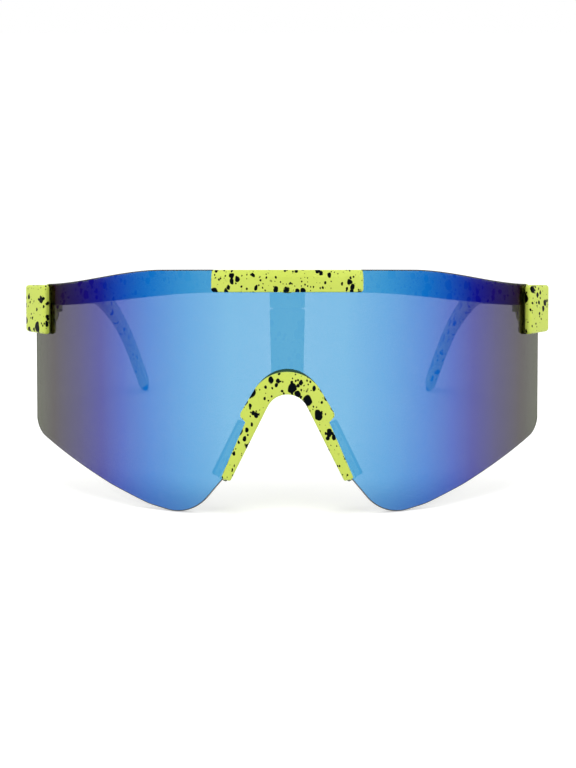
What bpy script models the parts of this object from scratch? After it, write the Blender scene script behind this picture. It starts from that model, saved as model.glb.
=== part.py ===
"""Sports sunglasses with one wrapped shield lens, a clip-on nose bridge and two temples that fold, tilt and lengthen.

Run with: blender --background --python part.py

The pieces are drawn in the wearer's frame: X to the wearer's left, Y back from the middle of the lens, Z up from
its lower edge. The last step leans the finished glasses back, so that they stand on the lens and the temple tips.
"""

import math

import bmesh
import bpy
from mathutils import Matrix, Vector

MM = 0.001

# Fits
SEAT_GAP = 0.30 * MM
CHANNEL_GAP = 0.25 * MM
RUNNING_GAP = 0.08 * MM
OVERRUN = 3.0 * MM
WELD_DISTANCE = 0.001 * MM
ARC_STEP = math.radians(18)
SECTION_STEP = math.radians(30)
WRAP_STEP = 4.2 * MM

# Lens: a cylinder about an upright axis, cut to its outline. Half widths are measured straight across.
LENS_RADIUS = 92.0 * MM
LENS_THICKNESS = 2.0 * MM
LENS_HALF_WIDTH = 71.9 * MM
LENS_HEIGHT = 65.3 * MM
LENS_EDGE_BEVEL = 0.3 * MM
BROW_DROP = 3.9 * MM
BROW_DROP_START = 34.0 * MM
BROW_DROP_STOP = 2.9 * MM
# Lower edge from the temple to the nose, as shares of the half width and of the height
LOWER_EDGE_SHARES = ((1.0, 0.305), (0.679, 0.0934), (0.5285, 0.0207), (0.3644, -0.0245))
LOWER_EDGE_FILLETS = (7.0 * MM, 30.0 * MM, 20.0 * MM, 11.5 * MM)
CLIP_RECESS_DEPTH = 1.7 * MM
BOSS_NOTCH_WIDTH = 6.4 * MM
BOSS_NOTCH_DEPTH = 6.7 * MM
END_STEP_DEPTH = 1.6 * MM
END_NOTCH_HEIGHT = 3.0 * MM
END_NOTCH_DEPTH = 1.5 * MM
TOE_RISE = 2.5 * MM
TOE_FILLET = 2.0 * MM

# Brow bar behind the lens, and the lip in front of it
BAR_THICKNESS = 3.0 * MM
BAR_SETBACK = 0.25 * MM
BAR_HEIGHT = 6.0 * MM
BAR_DROP = 3.8 * MM
BAR_DROP_START = 20.0 * MM
BAR_DROP_STOP = 1.9 * MM
BAR_BEVEL = 0.5 * MM
LIP_THICKNESS = 2.0 * MM
LIP_BEVEL = 0.55 * MM
CLIP_HALF_WIDTH = 20.5 * MM
CLIP_HEIGHT = 5.95 * MM
CLIP_FILLET = 0.8 * MM
SOCKET_HALF_WIDTH = 4.9 * MM
SOCKET_DROP = 4.1 * MM
SOCKET_THICKNESS = 4.0 * MM
TONGUE_HALF_WIDTH = 3.1 * MM
TONGUE_THICKNESS = 1.2 * MM
TONGUE_HEIGHT = 5.2 * MM

# End pieces
END_HEIGHT = 13.6 * MM
END_DROP = 4.2 * MM
END_OVERHANG = 4.5 * MM
END_WALL = 2.9 * MM
END_BACK_LIP_EXTRA = 1.4 * MM
END_BEVEL = 0.8 * MM

# Nose bridge
NOSE_FOOT_HALF_WIDTH = 14.95 * MM
NOSE_FOOT_HEIGHT = 8.8 * MM
NOSE_LEG_ANGLE = math.radians(26.3)
NOSE_TOP_RADIUS = 6.2 * MM
BRIDGE_WEB = 1.3 * MM
BRIDGE_TOP_RADIUS = 10.3 * MM
BRIDGE_ARCH_ANGLE = math.radians(30.3)
BRIDGE_SHOULDER_HALF_WIDTH = 12.45 * MM
BRIDGE_SHOULDER_HEIGHT = 26.8 * MM
BRIDGE_SHOULDER_DEPTH = 0.9 * MM
BRIDGE_STEP = 1.4 * MM
BRIDGE_LEG_FOOT_WIDTH = 2.55 * MM
BRIDGE_LEG_FOOT_RISE = 0.8 * MM
BRIDGE_FILLET = 0.7 * MM
BRIDGE_BACK_THICKNESS = 2.2 * MM
POST_TOP_HALF_WIDTH = 4.9 * MM
POST_FOOT_HALF_WIDTH = 4.45 * MM
POST_SINK = 3.0 * MM

# Nose wings and pads
WING_TOP_HEIGHT = 22.3 * MM
WING_LENGTH = 16.0 * MM
WING_DEPTH = 5.0 * MM
WING_THICKNESS = 1.5 * MM
WING_SPLAY = math.radians(22)
WING_BEVEL = 0.5 * MM
WING_SINK = 1.35 * MM
PAD_THICKNESS = 1.5 * MM
PAD_DEPTH = 5.8 * MM
PAD_LENGTH = 16.6 * MM
PAD_BEAD = 1.9 * MM
PAD_BEVEL = 0.45 * MM

# Fold hinge
FOLD_INSET = 4.2 * MM
FOLD_SETBACK = 6.4 * MM
TEMPLE_SPLAY = math.radians(7)
KNUCKLE_RADIUS = 2.6 * MM
KNUCKLE_DROP = 7.8 * MM
LUG_HEIGHT = 2.1 * MM
KNUCKLE_HEIGHT = 2.9 * MM
LUG_BEVEL = 0.35 * MM
FOLD_SCREW_RADIUS = 0.7 * MM
FOLD_HEAD_RADIUS = 1.25 * MM
FOLD_HEAD_HEIGHT = 0.8 * MM
SCREW_SLOT = 0.4 * MM
BUTT_V = 2.5 * MM

# Hinge block and tilt pivot
BLOCK_WALL = 1.4 * MM
EAR_INNER = 1.9 * MM
EAR_THICKNESS = 1.8 * MM
PIVOT_V = 10.2 * MM
PIVOT_DROP = 5.6 * MM
PIVOT_RADIUS = 5.4 * MM
BLOCK_BEVEL = 0.35 * MM
CHEEK = 0.2 * MM
TILT_SCREW_RADIUS = 0.9 * MM
TILT_HEAD_RADIUS = 1.7 * MM
TILT_HEAD_HEIGHT = 1.0 * MM
TILT_HEAD_SINK = 0.7 * MM

# Tilt link and its rail
DISC_THICKNESS = 2.6 * MM
NECK_LENGTH = 8.6 * MM
NECK_BEVEL = 0.35 * MM
RAIL_LENGTH = 27.5 * MM
RAIL_THICKNESS = 1.8 * MM
RAIL_HEIGHT = 3.8 * MM
RAIL_PLAY = 0.2 * MM

# Temple arm
ARM_HEIGHT = 6.4 * MM
ARM_THICKNESS = 4.0 * MM
ARM_DROP = 2.9 * MM
ARM_FILLET = 1.1 * MM
SLEEVE_LENGTH = 33.0 * MM
TAPER_LENGTH = 16.0 * MM
STRAIGHT_LENGTH = 56.0 * MM
HOOK_HEIGHT = 7.6 * MM
HOOK_THICKNESS = 3.1 * MM
HOOK_RADIUS = 49.0 * MM
HOOK_ANGLE = math.radians(60)
TAIL_LENGTH = 8.0 * MM
TIP_LENGTH = 3.2 * MM
HOOK_LEAN = 0.23
CAVITY_LENGTH = 29.0 * MM

# Slide
SLIDE_TRAVEL = 10.0 * MM
SLIDE_STOPS = 4
SLOT_START = 9.8 * MM
SLIDE_SCREW_RADIUS = 0.9 * MM
SLIDE_HEAD_RADIUS = 1.6 * MM
SLIDE_HEAD_HEIGHT = 0.6 * MM
SLOT_PLAY = 0.25 * MM
NOTCH_SWELL = 0.3 * MM

# Places that follow the lens
LENS_END_DEPTH = LENS_RADIUS - math.sqrt(LENS_RADIUS**2 - LENS_HALF_WIDTH**2)
END_TOP = LENS_HEIGHT - END_DROP
END_LIP_INNER = LENS_HALF_WIDTH - END_OVERHANG
END_OUTER = LENS_HALF_WIDTH + END_WALL
FOLD_X = LENS_HALF_WIDTH - FOLD_INSET
FOLD_Y = LENS_END_DEPTH + FOLD_SETBACK
KNUCKLE_BOTTOM = END_TOP - KNUCKLE_DROP
PIVOT_HEIGHT = END_TOP - PIVOT_DROP
ARM_LEVEL = END_TOP - ARM_DROP
TOE_HEIGHT = NOSE_FOOT_HEIGHT + TOE_RISE

# Placement along the temple frame: w is out from the fold axis, v is back along the temple
DISC_INNER = EAR_INNER + EAR_THICKNESS + SEAT_GAP
DISC_MIDDLE = DISC_INNER + DISC_THICKNESS / 2
RAIL_MIDDLE = DISC_MIDDLE
ARM_MIDDLE = RAIL_MIDDLE
ARM_INNER = ARM_MIDDLE - ARM_THICKNESS / 2
MOUTH_V = PIVOT_V + NECK_LENGTH + SEAT_GAP
BAR_FRONT = LENS_THICKNESS + SEAT_GAP
LIP_FRONT = -(CHANNEL_GAP + LIP_THICKNESS)
KNUCKLE_Z = KNUCKLE_BOTTOM + LUG_HEIGHT + CHANNEL_GAP
UPPER_LUG_Z = KNUCKLE_Z + KNUCKLE_HEIGHT + CHANNEL_GAP

SIDES = ((1, "left"), (-1, "right"))


# Scene helpers

def clear_scene():
    for old in list(bpy.data.objects):
        bpy.data.objects.remove(old, do_unlink=True)


def collection(name):
    made = bpy.data.collections.new(name)
    bpy.context.scene.collection.children.link(made)
    return made


def material(name, colour, roughness, metallic=0.0, alpha=1.0):
    made = bpy.data.materials.new(name)
    made.use_nodes = True
    shader = made.node_tree.nodes["Principled BSDF"]
    shader.inputs["Base Color"].default_value = (*colour, 1.0)
    shader.inputs["Roughness"].default_value = roughness
    shader.inputs["Metallic"].default_value = metallic
    shader.inputs["Alpha"].default_value = alpha
    return made


def empty(name, place, parent=None, turn=0.0):
    made = bpy.data.objects.new(name, None)
    made.empty_display_size = KNUCKLE_RADIUS
    made.location = place
    made.rotation_euler = (0, 0, turn)
    made.parent = parent
    bpy.context.scene.collection.objects.link(made)
    return made


def held(name, mesh):
    """A new object for a mesh, linked to the scene while it is being worked on."""
    made = bpy.data.objects.new(name, mesh)
    bpy.context.scene.collection.objects.link(made)
    return made


def settle(obj):
    """Replaces an object's mesh or curve by what its modifiers make of it, and returns the object that holds it."""
    graph = bpy.context.evaluated_depsgraph_get()
    mesh = bpy.data.meshes.new_from_object(obj.evaluated_get(graph))
    done = held(obj.name, mesh)
    done.matrix_world = obj.matrix_world
    name = obj.name
    bpy.data.objects.remove(obj, do_unlink=True)
    done.name = name
    shape = bmesh.new()
    shape.from_mesh(mesh)
    bmesh.ops.remove_doubles(shape, verts=shape.verts, dist=WELD_DISTANCE)
    shape.to_mesh(mesh)
    shape.free()
    return done


def beveled(obj, width, segments=2):
    rounding = obj.modifiers.new("Round edges", "BEVEL")
    rounding.width = width
    rounding.segments = segments
    rounding.limit_method = "ANGLE"
    rounding.angle_limit = math.radians(40)
    return settle(obj)


def combined(obj, other, operation):
    """obj joined with, or cut by, another object, which is used up."""
    change = obj.modifiers.new(operation, "BOOLEAN")
    change.operation = operation
    change.object = other
    change.solver = "EXACT"
    done = settle(obj)
    bpy.data.objects.remove(other, do_unlink=True)
    return done


def joined(obj, *others):
    for other in others:
        obj = combined(obj, other, "UNION")
    return obj


def cut(obj, *cutters):
    for cutter in cutters:
        obj = combined(obj, cutter, "DIFFERENCE")
    return obj


# Shapes

def box(name, low, high):
    bpy.ops.mesh.primitive_cube_add(size=1.0)
    made = bpy.context.object
    made.name = name
    low, high = Vector(low), Vector(high)
    made.data.transform(Matrix.Translation((low + high) / 2) @ Matrix.Diagonal((*(high - low), 1.0)))
    return made


def rod(name, radius, start, end, sides=16):
    """A cylinder from one point to another."""
    start, end = Vector(start), Vector(end)
    bpy.ops.mesh.primitive_cylinder_add(vertices=sides, radius=radius, depth=(end - start).length)
    made = bpy.context.object
    made.name = name
    turn = (end - start).to_track_quat("Z", "Y").to_matrix().to_4x4()
    made.data.transform(Matrix.Translation((start + end) / 2) @ turn)
    return made


def rounded(corners, arc_step=ARC_STEP):
    """The points of a closed outline, from its corners (x, y, fillet radius). A fillet ends where the next begins."""
    places = [Vector(corner[:2]) for corner in corners]
    ways = []
    for index, here in enumerate(places):
        back = (places[index - 1] - here).normalized()
        on = (places[(index + 1) % len(places)] - here).normalized()
        ways.append((back, on, back.angle(on) / 2))
    tangents = [corner[2] / math.tan(way[2]) for corner, way in zip(corners, ways)]
    shares = []
    for index, here in enumerate(places):
        side = (places[(index + 1) % len(places)] - here).length
        taken = tangents[index] + tangents[(index + 1) % len(places)]
        shares.append(side / taken if taken > side else 1.0)
    points = []
    for index, here in enumerate(places):
        back, on, half = ways[index]
        radius = corners[index][2] * min(shares[index - 1], shares[index])
        if radius == 0:
            points.append(here)
            continue
        centre = here + (back + on).normalized() * (radius / math.sin(half))
        spoke = here + back * (radius / math.tan(half)) - centre
        turn = math.pi - 2 * half
        if spoke.cross(here + on * (radius / math.tan(half)) - centre) < 0:
            turn = -turn
        steps = max(2, math.ceil(abs(turn) / arc_step))
        for step in range(steps + 1):
            angle = turn * step / steps
            c, s = math.cos(angle), math.sin(angle)
            points.append(centre + Vector((spoke.x * c - spoke.y * s, spoke.x * s + spoke.y * c)))
    return points


def grown(outline, distance):
    """A closed outline moved outwards by a distance, each corner kept sharp."""
    area = sum(a.x * b.y - b.x * a.y for a, b in zip(outline, outline[1:] + outline[:1]))
    side = 1 if area < 0 else -1
    moved = []
    for index, here in enumerate(outline):
        before = (here - outline[index - 1]).normalized()
        after = (outline[(index + 1) % len(outline)] - here).normalized()
        normal = Vector((-before.y - after.y, before.x + after.x)).normalized()
        across = Vector((-before.y, before.x))
        moved.append(here + normal * side * distance / max(normal.dot(across), 0.3))
    return moved


def mirrored_outline(half):
    """A whole outline from the corners of its half at x >= 0, which starts and ends at or near the middle."""
    whole = list(half)
    for corner in reversed(half):
        if corner[0] > 0:
            whole.append((-corner[0], *corner[1:]))
    return whole


def upright_plate(name, outline, front, back):
    """A flat plate with an outline in X and Z, from one depth in Y to another."""
    flat = bpy.data.curves.new(name, "CURVE")
    flat.dimensions = "2D"
    flat.fill_mode = "BOTH"
    flat.extrude = (back - front) / 2
    spline = flat.splines.new("POLY")
    spline.points.add(len(outline) - 1)
    for point, place in zip(spline.points, outline):
        point.co = (place.x, place.y, 0, 1)
    spline.use_cyclic_u = True
    made = settle(held(name, flat))
    made.data.transform(Matrix.Translation((0, (front + back) / 2, 0)) @ Matrix.Rotation(math.pi / 2, 4, "X"))
    shape = bmesh.new()
    shape.from_mesh(made.data)
    middle = (front + back) / 2
    for cap in (lambda y: y < middle, lambda y: y > middle):
        faces = [face for face in shape.faces if all(cap(vertex.co.y) for vertex in face.verts)]
        bmesh.ops.dissolve_faces(shape, faces=faces)
    shape.to_mesh(made.data)
    shape.free()
    return made


def lying_plate(name, outline, low, high):
    """A flat plate with an outline in X and Y, from one height to another."""
    made = upright_plate(name, outline, -high, -low)
    made.data.transform(Matrix.Rotation(-math.pi / 2, 4, "X"))
    return made


def wrapped(obj):
    """Bends a flat plate round the lens's axis. X is then measured along the lens, and Y is depth behind its front."""
    shape = bmesh.new()
    shape.from_mesh(obj.data)
    reach = max(abs(vertex.co.x) for vertex in shape.verts)
    count = int(reach / WRAP_STEP)
    for index in range(-count, count + 1):
        bmesh.ops.bisect_plane(
            shape,
            geom=shape.verts[:] + shape.edges[:] + shape.faces[:],
            dist=WELD_DISTANCE,
            plane_co=(index * WRAP_STEP, 0, 0),
            plane_no=(1, 0, 0),
        )
    for vertex in shape.verts:
        angle = vertex.co.x / LENS_RADIUS
        radius = LENS_RADIUS - vertex.co.y
        vertex.co.x = radius * math.sin(angle)
        vertex.co.y = LENS_RADIUS - radius * math.cos(angle)
    bmesh.ops.triangulate(shape, faces=shape.faces)
    shape.to_mesh(obj.data)
    shape.free()
    return obj


def along(x, depth=0.0):
    """Distance along the lens of a place x to the side, at some depth behind its front."""
    return LENS_RADIUS * math.asin(x / (LENS_RADIUS - depth))


def loft(name, rings):
    """A closed skin through rings of the same number of points."""
    shape = bmesh.new()
    rows = [[shape.verts.new(point) for point in ring] for ring in rings]
    for row, following in zip(rows, rows[1:]):
        for index in range(len(row)):
            other = (index + 1) % len(row)
            shape.faces.new((row[index], row[other], following[other], following[index]))
    shape.faces.new(rows[0])
    shape.faces.new(reversed(rows[-1]))
    bmesh.ops.recalc_face_normals(shape, faces=shape.faces)
    mesh = bpy.data.meshes.new(name)
    shape.to_mesh(mesh)
    shape.free()
    return held(name, mesh)


def screw(name, foot, under_head, top, radius, head_radius, slot_width):
    """A screw with a slotted round head, along the line from its foot to its top."""
    foot, under_head, top = Vector(foot), Vector(under_head), Vector(top)
    axis = (top - foot).normalized()
    shaft = rod(name, radius, foot, under_head + (top - under_head) / 2)
    head = beveled(rod("head", head_radius, under_head, top), (top - under_head).length / 4, 1)
    made = joined(shaft, head)
    across = axis.orthogonal().normalized()
    turn = Matrix((across, axis.cross(across), axis)).transposed().to_4x4()
    groove = box("groove", (-head_radius * 2, -slot_width / 2, 0), (head_radius * 2, slot_width / 2, head_radius))
    groove.data.transform(Matrix.Translation(under_head + (top - under_head) / 2) @ turn)
    return cut(made, groove)


# Outlines

def smoothstep(share):
    share = min(max(share, 0.0), 1.0)
    return share * share * (3 - 2 * share)


def lens_top(x):
    run = LENS_HALF_WIDTH - BROW_DROP_STOP - BROW_DROP_START
    return LENS_HEIGHT - BROW_DROP * smoothstep((x - BROW_DROP_START) / run)


def bar_bottom(x):
    fall = BAR_DROP * smoothstep((x - BAR_DROP_START) / (LENS_HALF_WIDTH - BAR_DROP_STOP - BAR_DROP_START))
    return LENS_HEIGHT - BAR_SETBACK - BAR_HEIGHT - fall


def leg_line(height, outside=0.0):
    """Half width of the nose opening at a height, moved outwards by some distance."""
    slope = math.tan(NOSE_LEG_ANGLE)
    return NOSE_FOOT_HALF_WIDTH - (height - NOSE_FOOT_HEIGHT) * slope + outside / math.cos(NOSE_LEG_ANGLE)


def nose_apex(outside=0.0):
    """The corner where the two leg lines of the nose opening would meet, with its fillet."""
    height = NOSE_FOOT_HEIGHT + leg_line(NOSE_FOOT_HEIGHT, outside) / math.tan(NOSE_LEG_ANGLE)
    return (0.0, height, NOSE_TOP_RADIUS + outside)


def stations(start, end):
    """Distances along the lens from start to end, with the lines between where the lens is bent."""
    first, last = math.ceil(start / WRAP_STEP), math.floor(end / WRAP_STEP)
    inner = [index * WRAP_STEP for index in range(first, last + 1)]
    kept = [place for place in inner if place - start > WRAP_STEP / 4 and end - place > WRAP_STEP / 4]
    return [start, *kept, end]


def across(place, depth=0.0):
    """How far to the side a distance along the lens lies."""
    return (LENS_RADIUS - depth) * math.sin(abs(place) / LENS_RADIUS)


def lens_outline():
    """The lens laid flat, from the middle of its top edge round to the nose."""
    clip_edge = along(CLIP_HALF_WIDTH, LIP_FRONT) + SEAT_GAP
    recess = LENS_HEIGHT - CLIP_RECESS_DEPTH
    notch_foot = LENS_HEIGHT - BOSS_NOTCH_DEPTH
    notch_half = BOSS_NOTCH_WIDTH / 2
    tab_edge = END_LIP_INNER + SEAT_GAP
    tab_top = END_TOP - END_STEP_DEPTH
    side = along(LENS_HALF_WIDTH)
    end_middle = END_TOP - END_HEIGHT / 2
    half = [
        (notch_half, notch_foot, notch_half * 0.95),
        (notch_half, recess, 0),
        (clip_edge, recess, 0),
    ]
    half += [(place, lens_top(across(place)), 0) for place in stations(clip_edge, along(tab_edge))]
    half += [
        (along(tab_edge), tab_top, 0),
        (side, tab_top, 0),
        (side, end_middle + END_NOTCH_HEIGHT / 2, 0),
        (side - END_NOTCH_DEPTH, end_middle + END_NOTCH_HEIGHT / 2, 0),
        (side - END_NOTCH_DEPTH, end_middle - END_NOTCH_HEIGHT / 2, 0),
        (side, end_middle - END_NOTCH_HEIGHT / 2, 0),
    ]
    for (x_share, z_share), fillet in zip(LOWER_EDGE_SHARES, LOWER_EDGE_FILLETS):
        half.append((along(x_share * LENS_HALF_WIDTH), z_share * LENS_HEIGHT, fillet))
    in_groove = BRIDGE_WEB + CHANNEL_GAP
    half.append((leg_line(TOE_HEIGHT, in_groove), TOE_HEIGHT, TOE_FILLET))
    half.append(nose_apex(in_groove))
    return rounded(mirrored_outline(half))


def bridge_outline():
    """The nose bridge laid flat, from the top of its arch round one leg."""
    arch_top = BRIDGE_SHOULDER_HEIGHT + BRIDGE_SHOULDER_HALF_WIDTH / math.tan(BRIDGE_ARCH_ANGLE)
    step_top = BRIDGE_SHOULDER_HEIGHT - BRIDGE_SHOULDER_DEPTH
    half = [
        (0.0, arch_top, BRIDGE_TOP_RADIUS),
        (BRIDGE_SHOULDER_HALF_WIDTH, BRIDGE_SHOULDER_HEIGHT, BRIDGE_FILLET / 2),
        (BRIDGE_SHOULDER_HALF_WIDTH, step_top, BRIDGE_FILLET / 3),
        (BRIDGE_SHOULDER_HALF_WIDTH - BRIDGE_STEP, step_top - BRIDGE_STEP, BRIDGE_FILLET / 3),
        (NOSE_FOOT_HALF_WIDTH + BRIDGE_LEG_FOOT_WIDTH, NOSE_FOOT_HEIGHT + BRIDGE_LEG_FOOT_RISE, BRIDGE_FILLET),
        (NOSE_FOOT_HALF_WIDTH, NOSE_FOOT_HEIGHT, BRIDGE_FILLET),
        nose_apex(),
    ]
    return rounded(mirrored_outline(half))


def block_outline(half_width, bottom, top, fillet):
    """An upright rectangle about the middle, with round corners."""
    return rounded([
        (half_width, top, fillet),
        (half_width, bottom, fillet),
        (-half_width, bottom, fillet),
        (-half_width, top, fillet),
    ])


# Temple frame

def fold_place(side):
    return Vector((side * FOLD_X, FOLD_Y, 0))


def temple_matrix(side):
    """From the temple frame (w out, v back, z up) to the wearer's frame."""
    turn = Matrix.Rotation(side * TEMPLE_SPLAY, 4, "Z")
    return Matrix.Translation(fold_place(side)) @ turn @ Matrix.Diagonal((side, 1, 1, 1))


def placed(obj, matrix):
    """Moves a mesh by a matrix that may mirror it, and turns its faces back out if so."""
    shape = bmesh.new()
    shape.from_mesh(obj.data)
    bmesh.ops.transform(shape, matrix=matrix, verts=shape.verts)
    if matrix.determinant() < 0:
        bmesh.ops.reverse_faces(shape, faces=shape.faces)
    shape.to_mesh(obj.data)
    shape.free()
    return obj


def handed(obj, side):
    """A temple piece drawn for the wearer's left, mirrored when it is wanted for the right."""
    return placed(obj, Matrix.Diagonal((side, 1, 1, 1)))


# Front pieces

def shield_lens():
    made = upright_plate("shield_lens", lens_outline(), 0, LENS_THICKNESS)
    return wrapped(beveled(made, LENS_EDGE_BEVEL, 1))


def lens_channel():
    """The room that the lens takes in the pieces that hold it."""
    outline = grown(lens_outline(), CHANNEL_GAP)
    return wrapped(upright_plate("channel", outline, -CHANNEL_GAP, LENS_THICKNESS + CHANNEL_GAP))


def brow_bar():
    reach = along(END_LIP_INNER, BAR_FRONT)
    places = stations(-reach, reach)
    top = [Vector((place, lens_top(across(place, BAR_FRONT)) - BAR_SETBACK)) for place in places]
    bottom = [Vector((place, bar_bottom(across(place, BAR_FRONT)))) for place in reversed(places)]
    plate = upright_plate("front_frame", top + bottom, BAR_FRONT, BAR_FRONT + BAR_THICKNESS)
    return wrapped(beveled(plate, BAR_BEVEL, 2))


def centre_clip():
    """The lip that shows in front of the lens, with its top wall and the boss that fills the lens's notch."""
    top = LENS_HEIGHT - BAR_SETBACK / 2
    back = BAR_FRONT + BAR_THICKNESS - BAR_BEVEL
    half_width = along(CLIP_HALF_WIDTH, LIP_FRONT)
    lip = upright_plate("clip", block_outline(half_width, top - CLIP_HEIGHT, top, CLIP_FILLET), LIP_FRONT, back)
    boss_half = BOSS_NOTCH_WIDTH / 2 - CHANNEL_GAP
    boss_foot = LENS_HEIGHT - BOSS_NOTCH_DEPTH + CHANNEL_GAP
    boss_corners = [
        (boss_half, top - LIP_BEVEL, 0),
        (boss_half, boss_foot, boss_half * 0.95),
        (-boss_half, boss_foot, boss_half * 0.95),
        (-boss_half, top - LIP_BEVEL, 0),
    ]
    boss = upright_plate("boss", rounded(boss_corners), LIP_FRONT / 2, BAR_FRONT + BAR_THICKNESS / 2)
    return wrapped(beveled(lip, LIP_BEVEL, 2)), wrapped(boss)


def post_socket():
    """The block under the middle of the bar that the bridge's post goes into."""
    bottom = bar_bottom(0) - SOCKET_DROP
    top = bar_bottom(0) + BAR_HEIGHT / 2
    outline = block_outline(SOCKET_HALF_WIDTH, bottom, top, CLIP_FILLET)
    block = upright_plate("socket", outline, BAR_FRONT, BAR_FRONT + SOCKET_THICKNESS)
    middle = BAR_FRONT + SOCKET_THICKNESS / 2
    half = TONGUE_THICKNESS / 2 + CHANNEL_GAP
    width = TONGUE_HALF_WIDTH + CHANNEL_GAP
    roof = bottom + TONGUE_HEIGHT + SEAT_GAP
    slot = upright_plate("slot", block_outline(width, bottom - OVERRUN, roof, 0), middle - half, middle + half)
    return wrapped(beveled(block, BAR_BEVEL / 2, 1)), wrapped(slot)


def end_piece(side):
    """The block that holds one end of the lens, drawn in plan."""
    lip_radius = LENS_RADIUS - LIP_FRONT
    inner = math.asin(END_LIP_INNER / lip_radius)
    outer = math.asin(END_OUTER / lip_radius)
    frame = temple_matrix(1)
    reach = frame @ Vector((EAR_INNER + EAR_THICKNESS, BUTT_V, 0))
    butt_w = (END_OUTER - FOLD_X) / math.cos(TEMPLE_SPLAY) + BUTT_V * math.tan(TEMPLE_SPLAY)
    butt = frame @ Vector((butt_w, BUTT_V, 0))
    pocket = frame @ Vector((EAR_INNER + EAR_THICKNESS, -KNUCKLE_RADIUS / 2, 0))
    back_radius = LENS_RADIUS - BAR_FRONT - BAR_THICKNESS
    back_x = END_LIP_INNER - END_BACK_LIP_EXTRA
    back_y = LENS_RADIUS - math.sqrt(back_radius**2 - back_x**2)
    face_radius = LENS_RADIUS - LENS_THICKNESS
    face_y = LENS_RADIUS - math.sqrt(face_radius**2 - back_x**2)
    corners = []
    for step in range(4):
        angle = inner + (outer - inner) * step / 3
        corners.append((lip_radius * math.sin(angle), LENS_RADIUS - lip_radius * math.cos(angle), 0))
    corners[-1] = (*corners[-1][:2], LIP_THICKNESS * 0.75)
    corners += [
        (butt.x, butt.y, 0),
        (reach.x, reach.y, 0),
        (pocket.x, pocket.y, 0),
        (back_x, back_y, 0),
        (back_x, face_y, 0),
    ]
    outline = [Vector((side * point.x, point.y)) for point in rounded(corners)]
    block = lying_plate("end", outline, END_TOP - END_HEIGHT, END_TOP)
    return beveled(block, END_BEVEL, 2)


def lug(side, low, high):
    """One outer knuckle of the fold hinge, with the foot that ties it to the end piece."""
    place = fold_place(side)
    barrel = rod("lug", KNUCKLE_RADIUS, place + Vector((0, 0, low)), place + Vector((0, 0, high)), 20)
    foot = box("foot", (0, -KNUCKLE_RADIUS * 0.9, low + LUG_BEVEL), (
        EAR_INNER + EAR_THICKNESS + LUG_BEVEL, BUTT_V - LUG_BEVEL, high - LUG_BEVEL))
    handed(foot, side)
    foot.data.transform(Matrix.Translation(place) @ Matrix.Rotation(side * TEMPLE_SPLAY, 4, "Z"))
    return joined(beveled(barrel, LUG_BEVEL, 1), foot)


def front_frame():
    """Brow bar, centre clip, end pieces and hinge lugs, moulded in one."""
    clip, boss = centre_clip()
    socket, tongue_slot = post_socket()
    made = joined(brow_bar(), clip, boss, socket)
    for side, _ in SIDES:
        made = joined(made, end_piece(side))
    made = cut(made, lens_channel(), tongue_slot)
    for side, _ in SIDES:
        place = fold_place(side)
        room = rod("room", KNUCKLE_RADIUS + SEAT_GAP,
                   place + Vector((0, 0, KNUCKLE_Z - CHANNEL_GAP)),
                   place + Vector((0, 0, UPPER_LUG_Z)))
        made = cut(made, room)
        made = joined(made, lug(side, KNUCKLE_BOTTOM, KNUCKLE_BOTTOM + LUG_HEIGHT))
        made = joined(made, lug(side, UPPER_LUG_Z, UPPER_LUG_Z + LUG_HEIGHT))
        low, high = Vector((0, 0, KNUCKLE_BOTTOM - OVERRUN)), Vector((0, 0, END_TOP + OVERRUN))
        hole = rod("hole", FOLD_SCREW_RADIUS + RUNNING_GAP, place + low, place + high)
        seat = Vector((0, 0, UPPER_LUG_Z + LUG_HEIGHT - FOLD_HEAD_HEIGHT))
        sink = rod("sink", FOLD_HEAD_RADIUS + RUNNING_GAP, place + seat, place + high)
        made = cut(made, hole, sink)
    return made


def wing_matrix(side):
    """Frame of one nose wing: X down the leg, Y back along the wing, Z towards the nose."""
    along_leg = Vector((math.sin(NOSE_LEG_ANGLE), 0, -math.cos(NOSE_LEG_ANGLE)))
    outward = Vector((math.cos(NOSE_LEG_ANGLE), 0, math.sin(NOSE_LEG_ANGLE)))
    back = Vector((0, math.cos(WING_SPLAY), 0)) + outward * math.sin(WING_SPLAY)
    inward = back.cross(along_leg)
    start = Vector((
        leg_line(WING_TOP_HEIGHT, BRIDGE_WEB),
        LENS_THICKNESS + CHANNEL_GAP + BRIDGE_BACK_THICKNESS - WING_SINK,
        WING_TOP_HEIGHT,
    ))
    matrix = Matrix((along_leg, back, inward)).transposed().to_4x4()
    matrix.translation = start
    return Matrix.Diagonal((side, 1, 1, 1)) @ matrix


def nose_wing(side):
    plate = box("wing", (0, 0, -WING_THICKNESS), (WING_LENGTH, WING_DEPTH + WING_SINK, 0))
    return placed(beveled(plate, WING_BEVEL, 2), wing_matrix(side))


def nose_pad(side, name):
    """A soft pad on the nose side of a wing, with a bead that covers the wing's back edge."""
    edge = WING_DEPTH + WING_SINK + SEAT_GAP
    start = edge - PAD_DEPTH + PAD_BEAD
    low = -(PAD_LENGTH - WING_LENGTH) / 2
    sheet = box(name, (low, start, SEAT_GAP), (low + PAD_LENGTH, edge + PAD_BEAD, SEAT_GAP + PAD_THICKNESS))
    bead = box("bead", (low, edge, -WING_THICKNESS), (low + PAD_LENGTH, edge + PAD_BEAD, SEAT_GAP + PAD_THICKNESS / 2))
    pad = joined(beveled(sheet, PAD_BEVEL, 2), beveled(bead, PAD_BEVEL, 2))
    return placed(pad, wing_matrix(side))


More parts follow.
